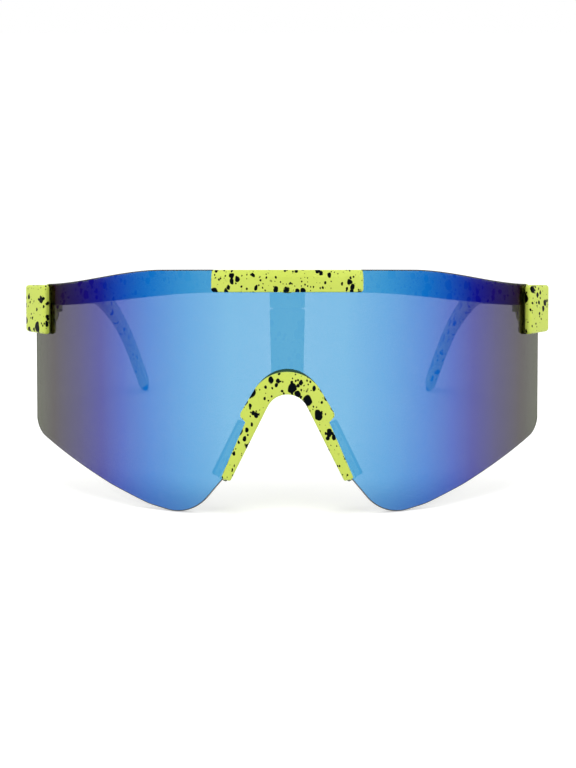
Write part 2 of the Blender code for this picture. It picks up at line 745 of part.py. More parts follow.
def nose_bridge():
    """The clip that grips the lens at the nose, its post up to the brow bar, and its two wings."""
    back = LENS_THICKNESS + CHANNEL_GAP + BRIDGE_BACK_THICKNESS
    made = wrapped(beveled(upright_plate("nose_bridge", bridge_outline(), LIP_FRONT, back), LIP_BEVEL, 2))
    arch_top = BRIDGE_SHOULDER_HEIGHT + BRIDGE_SHOULDER_HALF_WIDTH / math.tan(BRIDGE_ARCH_ANGLE)
    crown = arch_top - BRIDGE_TOP_RADIUS / math.sin(BRIDGE_ARCH_ANGLE) + BRIDGE_TOP_RADIUS
    socket_foot = bar_bottom(0) - SOCKET_DROP
    corners = [
        (POST_TOP_HALF_WIDTH, socket_foot - SEAT_GAP, CLIP_FILLET),
        (POST_FOOT_HALF_WIDTH, crown - POST_SINK, 0),
        (-POST_FOOT_HALF_WIDTH, crown - POST_SINK, 0),
        (-POST_TOP_HALF_WIDTH, socket_foot - SEAT_GAP, CLIP_FILLET),
    ]
    front = BAR_FRONT + RUNNING_GAP
    post = wrapped(beveled(upright_plate("post", rounded(corners), front, back - RUNNING_GAP), BAR_BEVEL / 2, 1))
    middle = BAR_FRONT + SOCKET_THICKNESS / 2
    half = TONGUE_THICKNESS / 2
    tongue_corners = block_outline(TONGUE_HALF_WIDTH, socket_foot - TONGUE_HEIGHT, socket_foot + TONGUE_HEIGHT, 0)
    tongue = wrapped(upright_plate("tongue", tongue_corners, middle - half, middle + half))
    heel_outline = block_outline(TONGUE_HALF_WIDTH + BAR_BEVEL, socket_foot - TONGUE_HEIGHT - CLIP_FILLET,
                                 socket_foot - SEAT_GAP - CLIP_FILLET, CLIP_FILLET)
    heel = wrapped(upright_plate("heel", heel_outline, front + BAR_BEVEL, middle + half + BAR_BEVEL / 2))
    made = joined(made, post, tongue, heel)
    for side, _ in SIDES:
        made = joined(made, nose_wing(side))
    return cut(made, lens_channel())


# Temple pieces, drawn in the temple frame

def fold_screw(name):
    foot = KNUCKLE_BOTTOM + FOLD_SCREW_RADIUS / 2
    top = UPPER_LUG_Z + LUG_HEIGHT
    seat = top - FOLD_HEAD_HEIGHT + RUNNING_GAP
    return screw(name, (0, 0, foot), (0, 0, seat), (0, 0, top), FOLD_SCREW_RADIUS, FOLD_HEAD_RADIUS, SCREW_SLOT)


def hinge_block(name):
    """The piece that folds: its knuckle, the wall that butts on the end piece, and the ear of the tilt pivot."""
    outer = DISC_INNER + DISC_THICKNESS
    butt = BUTT_V + SEAT_GAP
    bottom, top = PIVOT_HEIGHT - PIVOT_RADIUS, PIVOT_HEIGHT + PIVOT_RADIUS
    knuckle_top = KNUCKLE_Z + KNUCKLE_HEIGHT
    wall = box(name, (EAR_INNER, butt, bottom), (outer, butt + BLOCK_WALL, top))
    ear = box("ear", (EAR_INNER + CHEEK, butt + BLOCK_WALL / 2, bottom + CHEEK),
              (EAR_INNER + EAR_THICKNESS - CHEEK, PIVOT_V, top - CHEEK))
    face = rod("face", PIVOT_RADIUS, (EAR_INNER, PIVOT_V, PIVOT_HEIGHT),
               (EAR_INNER + EAR_THICKNESS, PIVOT_V, PIVOT_HEIGHT), 32)
    made = joined(beveled(wall, BLOCK_BEVEL, 2), beveled(ear, BLOCK_BEVEL, 1), beveled(face, BLOCK_BEVEL, 1))
    knuckle = rod("knuckle", KNUCKLE_RADIUS, (0, 0, KNUCKLE_Z), (0, 0, knuckle_top), 20)
    arm_width = EAR_INNER + EAR_THICKNESS / 2
    web = box("web", (-KNUCKLE_RADIUS * 0.2, 0, KNUCKLE_Z + LUG_BEVEL / 2),
              (arm_width, butt + BLOCK_WALL / 2, knuckle_top - LUG_BEVEL / 2))
    made = joined(made, beveled(knuckle, LUG_BEVEL / 2, 1), web)
    pin_hole = rod("pin_hole", FOLD_SCREW_RADIUS + RUNNING_GAP, (0, 0, KNUCKLE_Z - OVERRUN),
                   (0, 0, knuckle_top + OVERRUN))
    pivot_hole = rod("pivot_hole", TILT_SCREW_RADIUS + RUNNING_GAP, (EAR_INNER - OVERRUN, PIVOT_V, PIVOT_HEIGHT),
                     (outer, PIVOT_V, PIVOT_HEIGHT))
    sink = rod("sink", TILT_HEAD_RADIUS + RUNNING_GAP, (EAR_INNER - OVERRUN, PIVOT_V, PIVOT_HEIGHT),
               (EAR_INNER + TILT_HEAD_SINK, PIVOT_V, PIVOT_HEIGHT))
    return cut(made, pin_hole, pivot_hole, sink)


def tilt_screw(name):
    foot = DISC_INNER + DISC_THICKNESS * 0.7
    seat = EAR_INNER + TILT_HEAD_SINK - RUNNING_GAP
    return screw(name, (foot, PIVOT_V, PIVOT_HEIGHT), (seat, PIVOT_V, PIVOT_HEIGHT),
                 (seat - TILT_HEAD_HEIGHT, PIVOT_V, PIVOT_HEIGHT), TILT_SCREW_RADIUS, TILT_HEAD_RADIUS, SCREW_SLOT)


def stop_v():
    """Where the slide screw stands along the temple."""
    return MOUTH_V + SLOT_START + SLIDE_TRAVEL


def tilt_link(name):
    """The disc that tilts on the ear, and the rail that the arm slides on."""
    outer = DISC_INNER + DISC_THICKNESS
    top = ARM_LEVEL + ARM_HEIGHT / 2 - NECK_BEVEL
    disc = rod(name, PIVOT_RADIUS, (DISC_INNER, PIVOT_V, PIVOT_HEIGHT), (outer, PIVOT_V, PIVOT_HEIGHT), 32)
    neck = box("neck", (DISC_INNER + CHEEK, PIVOT_V, ARM_LEVEL - ARM_HEIGHT / 2),
               (outer - CHEEK, PIVOT_V + NECK_LENGTH, top))
    body = joined(beveled(disc, NECK_BEVEL, 2), beveled(neck, NECK_BEVEL, 2))
    low_w, high_w = RAIL_MIDDLE - RAIL_THICKNESS / 2, RAIL_MIDDLE + RAIL_THICKNESS / 2
    rail = box("rail", (low_w, PIVOT_V + NECK_LENGTH / 2, ARM_LEVEL - RAIL_HEIGHT / 2),
               (high_w, MOUTH_V + RAIL_LENGTH, ARM_LEVEL + RAIL_HEIGHT / 2))
    made = joined(body, beveled(rail, NECK_BEVEL / 2, 1))
    pivot_hole = rod("pivot_hole", TILT_SCREW_RADIUS + RUNNING_GAP, (DISC_INNER - OVERRUN, PIVOT_V, PIVOT_HEIGHT),
                     (DISC_INNER + DISC_THICKNESS * 0.7 + RUNNING_GAP, PIVOT_V, PIVOT_HEIGHT))
    screw_hole = rod("screw_hole", SLIDE_SCREW_RADIUS + RUNNING_GAP, (low_w - OVERRUN, stop_v(), ARM_LEVEL),
                     (high_w + OVERRUN, stop_v(), ARM_LEVEL))
    return cut(made, pivot_hole, screw_hole)


def slide_screw(name):
    """The screw in the rail whose head keeps the arm on and whose shank stops it in the slot."""
    foot = RAIL_MIDDLE + RAIL_THICKNESS / 2
    seat = ARM_INNER - RUNNING_GAP
    return screw(name, (foot, stop_v(), ARM_LEVEL), (seat, stop_v(), ARM_LEVEL),
                 (seat - SLIDE_HEAD_HEIGHT, stop_v(), ARM_LEVEL), SLIDE_SCREW_RADIUS, SLIDE_HEAD_RADIUS, SCREW_SLOT)


def arm_sections():
    """Stations down the arm: place (v, z), slope below level, height and thickness."""
    sections = []
    for share in (0.0, 0.5, 1.0):
        sections.append((SLEEVE_LENGTH * share, ARM_LEVEL, 0.0, ARM_HEIGHT, ARM_THICKNESS))
    for share in (0.35, 0.7, 1.0):
        blend = smoothstep(share)
        height = ARM_HEIGHT + (HOOK_HEIGHT - ARM_HEIGHT) * blend / 2
        thickness = ARM_THICKNESS + (HOOK_THICKNESS - ARM_THICKNESS) * blend
        sections.append((SLEEVE_LENGTH + TAPER_LENGTH * share, ARM_LEVEL, 0.0, height, thickness))
    bends = 12
    mid_height = (ARM_HEIGHT + HOOK_HEIGHT) / 2
    for step in range(bends + 1):
        slope = HOOK_ANGLE * step / bends
        v = STRAIGHT_LENGTH + HOOK_RADIUS * math.sin(slope)
        z = ARM_LEVEL - HOOK_RADIUS * (1 - math.cos(slope))
        height = mid_height + (HOOK_HEIGHT - mid_height) * smoothstep(2 * step / bends)
        sections.append((v, z, slope, height, HOOK_THICKNESS))
    end_v, end_z = sections[-1][0], sections[-1][1]
    run = Vector((math.cos(HOOK_ANGLE), -math.sin(HOOK_ANGLE)))
    for share in (0.5, 1.0):
        place = Vector((end_v, end_z)) + run * TAIL_LENGTH * share
        sections.append((*place, HOOK_ANGLE, HOOK_HEIGHT * (1 - 0.08 * share), HOOK_THICKNESS))
    for angle in (30, 55, 75):
        place = Vector((end_v, end_z)) + run * (TAIL_LENGTH + TIP_LENGTH * math.sin(math.radians(angle)))
        size = math.cos(math.radians(angle))
        sections.append((*place, HOOK_ANGLE, HOOK_HEIGHT * 0.92 * (0.35 + 0.65 * size),
                         HOOK_THICKNESS * (0.25 + 0.75 * size)))
    return sections


def temple_arm(name):
    """Sleeve, straight run and ear hook of one temple, as a loft of rounded sections."""
    rings = []
    reach = STRAIGHT_LENGTH + HOOK_RADIUS * math.sin(HOOK_ANGLE) * 0.8
    for v, z, slope, height, thickness in arm_sections():
        fillet = min(ARM_FILLET, thickness * 0.45, height * 0.45)
        ring = []
        for corner in rounded([(thickness / 2, height / 2, fillet), (thickness / 2, -height / 2, fillet),
                               (-thickness / 2, -height / 2, fillet), (-thickness / 2, height / 2, fillet)],
                              SECTION_STEP):
            place_v = v + corner.y * math.sin(slope)
            place_z = z + corner.y * math.cos(slope)
            lean = HOOK_LEAN * smoothstep((v - STRAIGHT_LENGTH) / (reach - STRAIGHT_LENGTH))
            place_w = ARM_MIDDLE + corner.x + lean * (place_z - ARM_LEVEL)
            ring.append((place_w, MOUTH_V + place_v, place_z))
        rings.append(ring)
    made = loft(name, rings)
    half_w, half_z = RAIL_THICKNESS / 2 + RAIL_PLAY, RAIL_HEIGHT / 2 + RAIL_PLAY
    cavity = box("cavity", (RAIL_MIDDLE - half_w, MOUTH_V - OVERRUN, ARM_LEVEL - half_z),
                 (RAIL_MIDDLE + half_w, MOUTH_V + CAVITY_LENGTH, ARM_LEVEL + half_z))
    made = cut(made, cavity)
    slot_half = SLIDE_SCREW_RADIUS + SLOT_PLAY
    first = MOUTH_V + SLOT_START
    slot = box("slot", (ARM_INNER - OVERRUN, first, ARM_LEVEL - slot_half),
               (RAIL_MIDDLE, first + SLIDE_TRAVEL, ARM_LEVEL + slot_half))
    made = cut(made, slot)
    for index in range(SLIDE_STOPS):
        v = first + SLIDE_TRAVEL * index / (SLIDE_STOPS - 1)
        notch = rod("notch", slot_half + NOTCH_SWELL, (ARM_INNER - OVERRUN, v, ARM_LEVEL), (RAIL_MIDDLE, v, ARM_LEVEL))
        made = cut(made, notch)
    return made


# Assembly

def finish(obj, group, look, parent, matrix=None):
    """Shades an object, gives it its material, and hangs it on its parent with its origin there."""
    for old in list(obj.users_collection):
        old.objects.unlink(obj)
    group.objects.link(obj)
    if matrix is not None:
        obj.data.transform(matrix)
    obj.parent = parent
    obj.data.shade_smooth()
    obj.data.set_sharp_from_angle(angle=math.radians(32))
    obj.data.materials.clear()
    obj.data.materials.append(look)
    return obj


def lowest(points, lean):
    """The lowest of some points once they are leaned back by an angle."""
    return min(points, key=lambda p: p.z * math.cos(lean) - p.y * math.sin(lean))


def world_points(objects):
    graph = bpy.context.evaluated_depsgraph_get()
    points = []
    for obj in objects:
        shape = obj.evaluated_get(graph)
        points += [shape.matrix_world @ vertex.co for vertex in shape.data.vertices]
    return points


def stand(stand_empty, lens, arms):
    """Leans the glasses back until the lens and the temple tips touch the ground, middle of the footprint at the origin."""
    bpy.context.view_layer.update()
    front, rear = world_points([lens]), world_points(arms)
    lean = 0.0
    for _ in range(8):
        toe, tip = lowest(front, lean), lowest(rear, lean)
        lean = math.atan2(tip.z - toe.z, tip.y - toe.y)
    stand_empty.rotation_euler = (-lean, 0, 0)
    bpy.context.view_layer.update()


def centre_on_ground(stand_empty, objects):
    points = world_points(objects)
    low = Vector([min(point[axis] for point in points) for axis in range(3)])
    high = Vector([max(point[axis] for point in points) for axis in range(3)])
    stand_empty.location = (0, -(low.y + high.y) / 2, -low.z)
    bpy.context.view_layer.update()


def main():
    clear_scene()
    group = collection("sports_sunglasses")
    plastic = material("Neon plastic", (0.62, 0.83, 0.06), 0.38)
    mirror = material("Mirrored lens", (0.10, 0.34, 0.80), 0.06, 0.9, 0.85)
    rubber = material("Pad silicone", (0.55, 0.60, 0.55), 0.55)
    steel = material("Screw steel", (0.62, 0.62, 0.64), 0.3, 1.0)

    ground = empty("stand", (0, 0, 0))
    front = [
        finish(front_frame(), group, plastic, ground),
        finish(nose_bridge(), group, plastic, ground),
    ]
    lens = finish(shield_lens(), group, mirror, ground)
    front.append(lens)
    arms = []
    for side, word in SIDES:
        front.append(finish(nose_pad(side, f"nose_pad_{word}"), group, rubber, ground))
        fold = empty(f"fold_axis_{word}", fold_place(side), ground, side * TEMPLE_SPLAY)
        tilt_place = Vector((side * DISC_MIDDLE, PIVOT_V, PIVOT_HEIGHT))
        tilt = empty(f"tilt_axis_{word}", tilt_place, fold)
        slide_place = Vector((side * RAIL_MIDDLE, stop_v(), ARM_LEVEL))
        slide = empty(f"slide_axis_{word}", slide_place - tilt_place, tilt)
        to_tilt = Matrix.Translation(-tilt_place)
        to_slide = Matrix.Translation(-slide_place)
        pieces = (
            (fold_screw(f"fold_screw_{word}"), steel, fold, Matrix.Identity(4)),
            (hinge_block(f"hinge_block_{word}"), plastic, fold, Matrix.Identity(4)),
            (tilt_screw(f"tilt_screw_{word}"), steel, fold, Matrix.Identity(4)),
            (tilt_link(f"tilt_link_{word}"), plastic, tilt, to_tilt),
            (slide_screw(f"slide_screw_{word}"), steel, tilt, to_tilt),
            (temple_arm(f"temple_arm_{word}"), plastic, slide, to_slide),
        )
        for piece, look, parent, matrix in pieces:
            front.append(finish(handed(piece, side), group, look, parent, matrix))
        arms.append(front[-1])
    stand(ground, lens, arms)
    centre_on_ground(ground, front)


main()
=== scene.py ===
import math
from functools import partialmethod

import bpy
import numpy as np
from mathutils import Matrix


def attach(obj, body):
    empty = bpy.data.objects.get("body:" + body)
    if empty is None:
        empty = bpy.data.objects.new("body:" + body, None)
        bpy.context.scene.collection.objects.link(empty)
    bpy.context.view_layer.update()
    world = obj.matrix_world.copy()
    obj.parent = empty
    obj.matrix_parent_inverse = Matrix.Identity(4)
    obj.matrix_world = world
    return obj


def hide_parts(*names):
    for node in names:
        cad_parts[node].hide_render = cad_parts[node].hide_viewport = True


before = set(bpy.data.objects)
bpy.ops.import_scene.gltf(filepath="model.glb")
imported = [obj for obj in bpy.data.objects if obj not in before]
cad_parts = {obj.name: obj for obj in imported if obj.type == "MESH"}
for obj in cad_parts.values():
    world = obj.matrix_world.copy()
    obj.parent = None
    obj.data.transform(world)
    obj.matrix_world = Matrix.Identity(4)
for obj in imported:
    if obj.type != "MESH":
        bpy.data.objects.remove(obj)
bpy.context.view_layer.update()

print("loaded", len(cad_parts), "nodes")

mm = 0.001
sides = ((1, "left"), (-1, "right"))

# The wearer's frame is in mm: X to the wearer's left, Y back from the lens's front, Z up from its lower edge.
# The glasses stand leaned back on the lens and the temple tips.
stance = {"lean": 0.150667, "back": -83.782, "up": 1.282}


def stood(points):
    # turns points of the wearer's frame by the lean about X, then shifts them to the ground, in metres
    x, y, z = np.moveaxis(np.asarray(points, float), -1, 0)
    c, s = math.cos(stance["lean"]), math.sin(stance["lean"])
    return np.stack([x, c * y + s * z + stance["back"], c * z - s * y + stance["up"]], -1) * mm


def linked(name, data):
    # a new object of the scene that holds some data
    item = bpy.data.objects.new(name, data)
    bpy.context.scene.collection.objects.link(item)
    return item


# Camera

viewpoint = {
    "place": (0.0, -500.0, 62.5), "pitch": math.radians(3.19), "focal": 87.5, "sensor": 36.0, "shiftX": 0.0009,
    "near": 0.01, "far": 20.0,
}


def makeCamera():
    # a long lens in front of the glasses, turned up from straight down by a right angle less its pitch and the
    # lean of the glasses
    data = bpy.data.cameras.new("camera")
    data.sensor_fit = "VERTICAL"
    data.sensor_height = viewpoint["sensor"]
    data.lens = viewpoint["focal"]
    data.shift_x = viewpoint["shiftX"]
    data.clip_start, data.clip_end = viewpoint["near"], viewpoint["far"]
    camera = linked("camera", data)
    camera.location = stood([viewpoint["place"]])[0]
    camera.rotation_euler = (math.pi / 2 - viewpoint["pitch"] - stance["lean"], 0, 0)
    bpy.context.scene.camera = camera


makeCamera()
print("camera set")


# Shader maths

class Value:
    # wraps one output socket, so that sums on it become Math nodes
    def __init__(self, graph, socket):
        self.graph, self.socket = graph, socket

    def math(self, operation, *others):
        return self.graph.node("ShaderNodeMath", {"operation": operation}, [self, *others])

    def __rsub__(self, other):
        return self.graph.node("ShaderNodeMath", {"operation": "SUBTRACT"}, [other, self])

    __add__, __sub__ = partialmethod(math, "ADD"), partialmethod(math, "SUBTRACT")
    __mul__, __truediv__ = partialmethod(math, "MULTIPLY"), partialmethod(math, "DIVIDE")
    least, most = partialmethod(math, "MINIMUM"), partialmethod(math, "MAXIMUM")
    size = partialmethod(math, "ABSOLUTE")

    def step(self, low, high):
        # 0 below low, 1 above high, and a smooth rise between
        return self.graph.node("ShaderNodeMapRange", {"interpolation_type": "SMOOTHSTEP"}, {
            "Value": self, "From Min": low, "From Max": high})


class Looks:
    # the nodes of one material, or of the world
    def __init__(self, name, owner=None):
        self.material = owner or bpy.data.materials.new(name)
        self.material.use_nodes = True
        self.tree = self.material.node_tree
        self.tree.nodes.clear()

    def node(self, kind, settings=None, sockets=None, output=0):
        # makes a node, sets it up, gives each input its value or link, and returns the named output or outputs
        made = self.tree.nodes.new(kind)
        for key, value in (settings or {}).items():
            if key == "stops":
                ramp = made.color_ramp
                while len(ramp.elements) < len(value):
                    ramp.elements.new(1.0)
                for element, (place, colour) in zip(ramp.elements, value):
                    element.position, element.color = place, (*colour, 1.0)
            else:
                setattr(made, key, value)
        pairs = sockets.items() if isinstance(sockets, dict) else enumerate(sockets or ())
        for key, value in pairs:
            if isinstance(value, Value):
                self.tree.links.new(value.socket, made.inputs[key])
            else:
                made.inputs[key].default_value = value
        if isinstance(output, tuple):
            return [Value(self, made.outputs[name]) for name in output]
        return Value(self, made.outputs[output]) if made.outputs else None

    def place(self):
        return self.node("ShaderNodeTexCoord", output="Object")

    def parts(self, vector):
        return self.node("ShaderNodeSeparateXYZ", None, [vector], ("X", "Y", "Z"))

    def vector(self, operation, *values):
        return self.node("ShaderNodeVectorMath", {"operation": operation}, values)

    def blend(self, share, first, second, how="MIX"):
        first, second = ((*value, 1.0) if isinstance(value, tuple) else value for value in (first, second))
        sockets = {0: share, 6: first, 7: second}
        return self.node("ShaderNodeMix", {"data_type": "RGBA", "blend_type": how}, sockets, 2)

    def noise(self, where, scale, detail, roughness, output=0):
        return self.node("ShaderNodeTexNoise", None, {
            "Vector": where, "Scale": scale, "Detail": detail, "Roughness": roughness}, output)

    def bump(self, height, distance, strength):
        return self.node("ShaderNodeBump", None, {"Height": height, "Distance": distance, "Strength": strength})

    def surface(self, sockets):
        shader = self.node("ShaderNodeBsdfPrincipled", None, sockets)
        self.node("ShaderNodeOutputMaterial", None, [shader])
        return self.material


# Materials

plastic = {
    "base": (0.56, 0.685, 0.068), "pale": (0.65, 0.76, 0.128), "cloud": (60.0, 3.0, 0.6),
    "haze": (0.33, 0.44, 0.07), "mist": (1500.0, 3.0, 0.7), "mistFrom": 0.60, "mistTo": 0.72, "mistShare": 0.5,
    "ink": (0.003, 0.005, 0.007), "inkHeight": 0.9, "inkRoughness": 0.3, "roughness": 0.34,
    "grain": (4200.0, 3.0, 0.6), "relief": (0.00003, 0.35),
    "drops": (
        # cells per metre, radius in cells, share of cells with a drop, waver (m)
        (290.0, 0.41, 0.99, 0.0014), (600.0, 0.49, 0.90, 0.0005), (1250.0, 0.38, 0.52, 0.0002),
    ),
    "drawn": (1.0, 1.0, 0.74), "shift": (0.31, 0.17, 0.23), "spread": 0.88, "waves": 1.5, "smallest": 0.35,
    "edge": 0.86,
}


def neonPlastic():
    # Moulded neon plastic with ink spattered on it: big drawn-out drops that run together, round middling ones,
    # fine ones, and a faint green mist. A drop is where the distance to its cell's point is under its radius, which
    # grows with the square of a random number. Ink shines a little, as it is metallic where the drops are.
    look = Looks("neon_plastic")
    place = look.place()
    drawn = look.vector("MULTIPLY_ADD", place, plastic["drawn"], plastic["shift"])
    mask = None
    for scale, limit, share, waver in plastic["drops"]:
        waves = look.vector("SUBTRACT", look.noise(place, scale * plastic["waves"], 1.0, 0.5, 1), (0.5, 0.5, 0.5))
        distance, colour = look.node("ShaderNodeTexVoronoi", None, {
            "Vector": look.vector("MULTIPLY_ADD", waves, (waver,) * 3, drawn), "Scale": scale,
            "Randomness": plastic["spread"]}, ("Distance", "Color"))
        chance, size, _ = look.parts(colour)
        radius = (size * size * (1 - plastic["smallest"]) + plastic["smallest"]) * limit
        radius = radius * (1.0 - chance.step(share, share + 0.02)) + 0.0001
        drop = 1.0 - (distance / radius).step(plastic["edge"], 1.0)
        mask = drop if mask is None else mask.most(drop)
    mist = look.noise(place, *plastic["mist"]).step(plastic["mistFrom"], plastic["mistTo"]) * plastic["mistShare"]
    body = look.blend(look.noise(place, *plastic["cloud"]), plastic["base"], plastic["pale"])
    body = look.blend(mist, body, plastic["haze"])
    grain = look.noise(place, *plastic["grain"]) + mask * plastic["inkHeight"]
    return look.surface({
        "Base Color": look.blend(mask, body, plastic["ink"]),
        "Metallic": mask,
        "Roughness": mask * (plastic["inkRoughness"] - plastic["roughness"]) + plastic["roughness"],
        "Normal": look.bump(grain, *plastic["relief"]),
    })


coat = {
    "alpha": 0.72, "thinAlpha": 0.70, "thinFrom": 0.6, "thinTo": 0.9, "reach": 0.0735,
    # painted shadow near the lower edge: how high it reaches, its tone and share, and how much less passes through
    "shadowTop": 0.011, "shadowTone": (0.0, 0.01, 0.25), "shadowShare": 0.45, "shadowAlpha": 0.08,
    "smear": (26.0, 4.0, 0.55), "roughness": (0.02, 0.045),
    # the blue coat's colour across the lens, graded as painted reflection: bright in the middle, dark towards the
    # temples
    "tones": ((0.0, (0.155, 0.56, 0.93)), (0.21, (0.125, 0.53, 0.92)), (0.36, (0.05, 0.40, 0.87)),
              (0.51, (0.004, 0.22, 0.77)), (0.62, (0.002, 0.083, 0.60)), (0.70, (0.002, 0.006, 0.37)),
              (0.79, (0.012, 0.001, 0.17)), (0.90, (0.016, 0.002, 0.005)),
              (1.0, (0.07, 0.09, 0.02))),
}


def mirrorCoat():
    # Blue mirror coat on a smoke lens. Painted reflection grades its colour from sky blue through azure, indigo and
    # violet to none at the temples, where its layer also lets a little more through.
    # Low down it is darker and lets less through: painted shadow, for the object's shadow on the floor seen through
    # the lens.
    look = Looks("mirror_coat")
    place = look.place()
    across, _, up = look.parts(place)
    side = (across.size() / coat["reach"]).least(1.0)
    # painted reflection: the mirror's colour graded by the distance across the lens
    tone = look.node("ShaderNodeValToRGB", {"stops": coat["tones"]}, [side])
    # painted shadow: darker and less clear towards the lower edge
    low = 1.0 - up.step(0.0, coat["shadowTop"])
    thin = side.step(coat["thinFrom"], coat["thinTo"]) * (coat["alpha"] - coat["thinAlpha"])
    sway, least = coat["roughness"]
    return look.surface({
        "Base Color": look.blend(low * coat["shadowShare"], tone, coat["shadowTone"]),
        "Metallic": 1.0,
        "Roughness": look.noise(place, *coat["smear"]) * sway + least,
        "Alpha": low * coat["shadowAlpha"] + coat["alpha"] - thin,
    })


finishes = {
    # name, cloud and its two tones, grain or rings, roughness, relief, other inputs; noises are given as scale (per
    # metre), detail and roughness, roughness as sway and least, and relief as depth (m) and strength
    "smoke": (  # the bare back of the lens: dark smoke with a polished face
        "smoke_back", (40.0, 2.0, 0.5), ((0.022, 0.022, 0.024), (0.034, 0.032, 0.031)), None,
        (0.03, 0.05), None, {"Metallic": 1.0, "Alpha": 0.63}),
    "edge": (  # the rounded front rim of the lens: nearly black, polished, with faint lines left by the cutter
        "lens_edge", (2600.0, 2.0, 0.5), ((0.012, 0.014, 0.014), (0.03, 0.032, 0.03)), None,
        (0.1, 0.2), (0.00001, 0.3), {}),
    "silicone": (  # soft pads, matt and a little cloudy, with a fine moulded grain
        "pad_silicone", (260.0, 3.0, 0.6), ((0.10, 0.12, 0.09), (0.17, 0.19, 0.13)), (5200.0, 2.0, 0.5),
        (0.15, 0.5), (0.00003, 0.4), {}),
    "steel": (  # small machine screws: bright steel with fine turning marks
        "turned_steel", (800.0, 3.0, 0.6), ((0.52, 0.52, 0.53), (0.70, 0.70, 0.71)), 2200.0,
        (0.18, 0.2), (0.00001, 0.3), {"Metallic": 1.0}),
    "shadeStrip": (  # painted shade: a dark green strip between the nose clip and the lens, for the dark line of shade along the clip's crown
        "shade_strip_dark", (700.0, 3.0, 0.6), ((0.002, 0.035, 0.018), (0.006, 0.06, 0.03)), None,
        (0.2, 0.45), (0.00002, 0.3), {}),
}


def clouded(name, clouds, tones, fine, roughness, relief, fixed):
    # Two tones mixed by a cloud. Roughness and relief follow the grain, or else the cloud, but where there are
    # rings the relief follows them.
    look = Looks(name)
    place = look.place()
    cloud = look.noise(place, *clouds)
    grain = look.noise(place, *fine) if isinstance(fine, tuple) else cloud
    sockets = {"Base Color": look.blend(cloud, *tones), "Roughness": grain * roughness[0] + roughness[1], **fixed}
    if isinstance(fine, float):
        grain = look.node("ShaderNodeTexWave", {"wave_type": "RINGS", "rings_direction": "SPHERICAL"}, {
            "Vector": place, "Scale": fine, "Distortion": 2.0, "Detail": 2.0})
    if relief:
        sockets["Normal"] = look.bump(grain, *relief)
    return look.surface(sockets)


looks = {"plastic": neonPlastic(), "coat": mirrorCoat()}
looks.update({key: clouded(*finish) for key, finish in finishes.items()})
print("made", len(looks), "materials")


# Surfaces

def gridFaces(rows, columns, roundColumns=False):
    # quads between neighbours of a grid of points, row by row
    i, j = np.meshgrid(np.arange(rows - 1), np.arange(columns if roundColumns else columns - 1), indexing="ij")
    right = (j + 1) % columns
    return np.stack([i * columns + j, i * columns + right, (i + 1) * columns + right, (i + 1) * columns + j],
                    -1).reshape(-1, 4)


def volumeOf(points, faces):
    # six times the volume inside a closed skin: each face is a fan of triangles, and the triple products of their
    # corners are summed
    fans = [(face[0], *pair) for face in faces for pair in zip(face[1:], face[2:])]
    first, second, third = points[np.asarray(fans)].swapaxes(0, 1)
    return np.einsum("ij,ij->", first, np.cross(second, third))


def skin(rings, closed="flat"):
    # a closed skin over rings of points: each end is one flat face, or is drawn in to its middle
    rings = np.asarray(rings, float)
    count, around = rings.shape[:2]
    points, quads = rings.reshape(-1, 3), gridFaces(count, around, roundColumns=True)
    k, last = np.arange(around), (count - 1) * around
    if closed == "flat":
        faces = quads.tolist() + [k[::-1].tolist(), (last + k).tolist()]
    else:
        points = np.vstack([points, rings[0].mean(0), rings[-1].mean(0)])
        after = (k + 1) % around
        near = np.stack([after, k, np.full(around, count * around)], -1)
        far = np.stack([last + k, last + after, np.full(around, count * around + 1)], -1)
        faces = quads.tolist() + near.tolist() + far.tolist()
    return points, faces


def addPiece(name, skins, look, body, *nodes, sharp=35.0, lookOf=None):
    # one mesh from closed skins drawn in the wearer's frame, each turned outwards; its slot is its first look's
    points, faces = [], []
    for part, polygons in skins:
        placed = stood(part)
        if volumeOf(placed, polygons) < 0:
            polygons = [list(face)[::-1] for face in polygons]
        first = sum(len(group) for group in points)
        points.append(placed)
        faces += [[corner + first for corner in face] for face in polygons]
    mesh = bpy.data.meshes.new(name)
    mesh.from_pydata(np.vstack(points).tolist(), [], faces)
    piece = linked(name, mesh)
    for item in look.split():
        mesh.materials.append(looks[item])
    if lookOf is not None:
        mesh.polygons.foreach_set("material_index", np.asarray(lookOf, np.int32))
    mesh.shade_smooth()
    mesh.set_sharp_from_angle(angle=math.radians(sharp))
    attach(piece, body)
    if nodes:
        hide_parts(*nodes)


def unit(steps):
    # steps over their own lengths
    return steps / np.linalg.norm(steps, axis=-1, keepdims=True)


def drawnIn(loop, by):
    # a closed counter-clockwise loop of places moved inwards by one distance or more: along the sum of the normals
    # on either side, over one plus their cosine
    before, after = unit(loop - np.roll(loop, 1, 0)), unit(np.roll(loop, -1, 0) - loop)
    normal = np.c_[-(before + after)[:, 1], (before + after)[:, 0]]
    return loop + by * normal / (1 + (before * after).sum(1))[:, None]


def rolled(distance, radius):
    # how far a rounded rim stands back, at a distance from its end: its radius less the height of a quarter circle
    past = radius - np.clip(distance, 0.0, radius)
    return radius - np.sqrt(np.maximum(radius ** 2 - past ** 2, 0.0))


def ends(low, high, bevel, steps=4):
    # levels from low to high, and how far the outline is drawn in at each: a quarter circle at both ends
    turn = np.linspace(0, math.pi / 2, steps + 1)
    rise, drawn = bevel * (1 - np.cos(turn)), bevel * (1 - np.sin(turn))
    return np.r_[low + rise, high - rise[::-1]], np.r_[drawn, drawn[::-1]]


def block(loop, low, high, bevel, place, between=0):
    # A solid whose outline is one loop at every level, with rounded rims. Place turns (across, back, level) into
    # the wearer's frame, and between counts the extra levels in the middle.
    levels, drawn = ends(low, high, bevel)
    middle = len(levels) // 2
    extra = np.linspace(levels[middle - 1], levels[middle], between + 2)[1:-1]
    levels, drawn = np.insert(levels, middle, extra), np.insert(drawn, middle, 0 * extra)
    rings = drawnIn(loop, drawn[:, None, None])
    return skin(place(rings[..., 0], rings[..., 1], levels[:, None]))


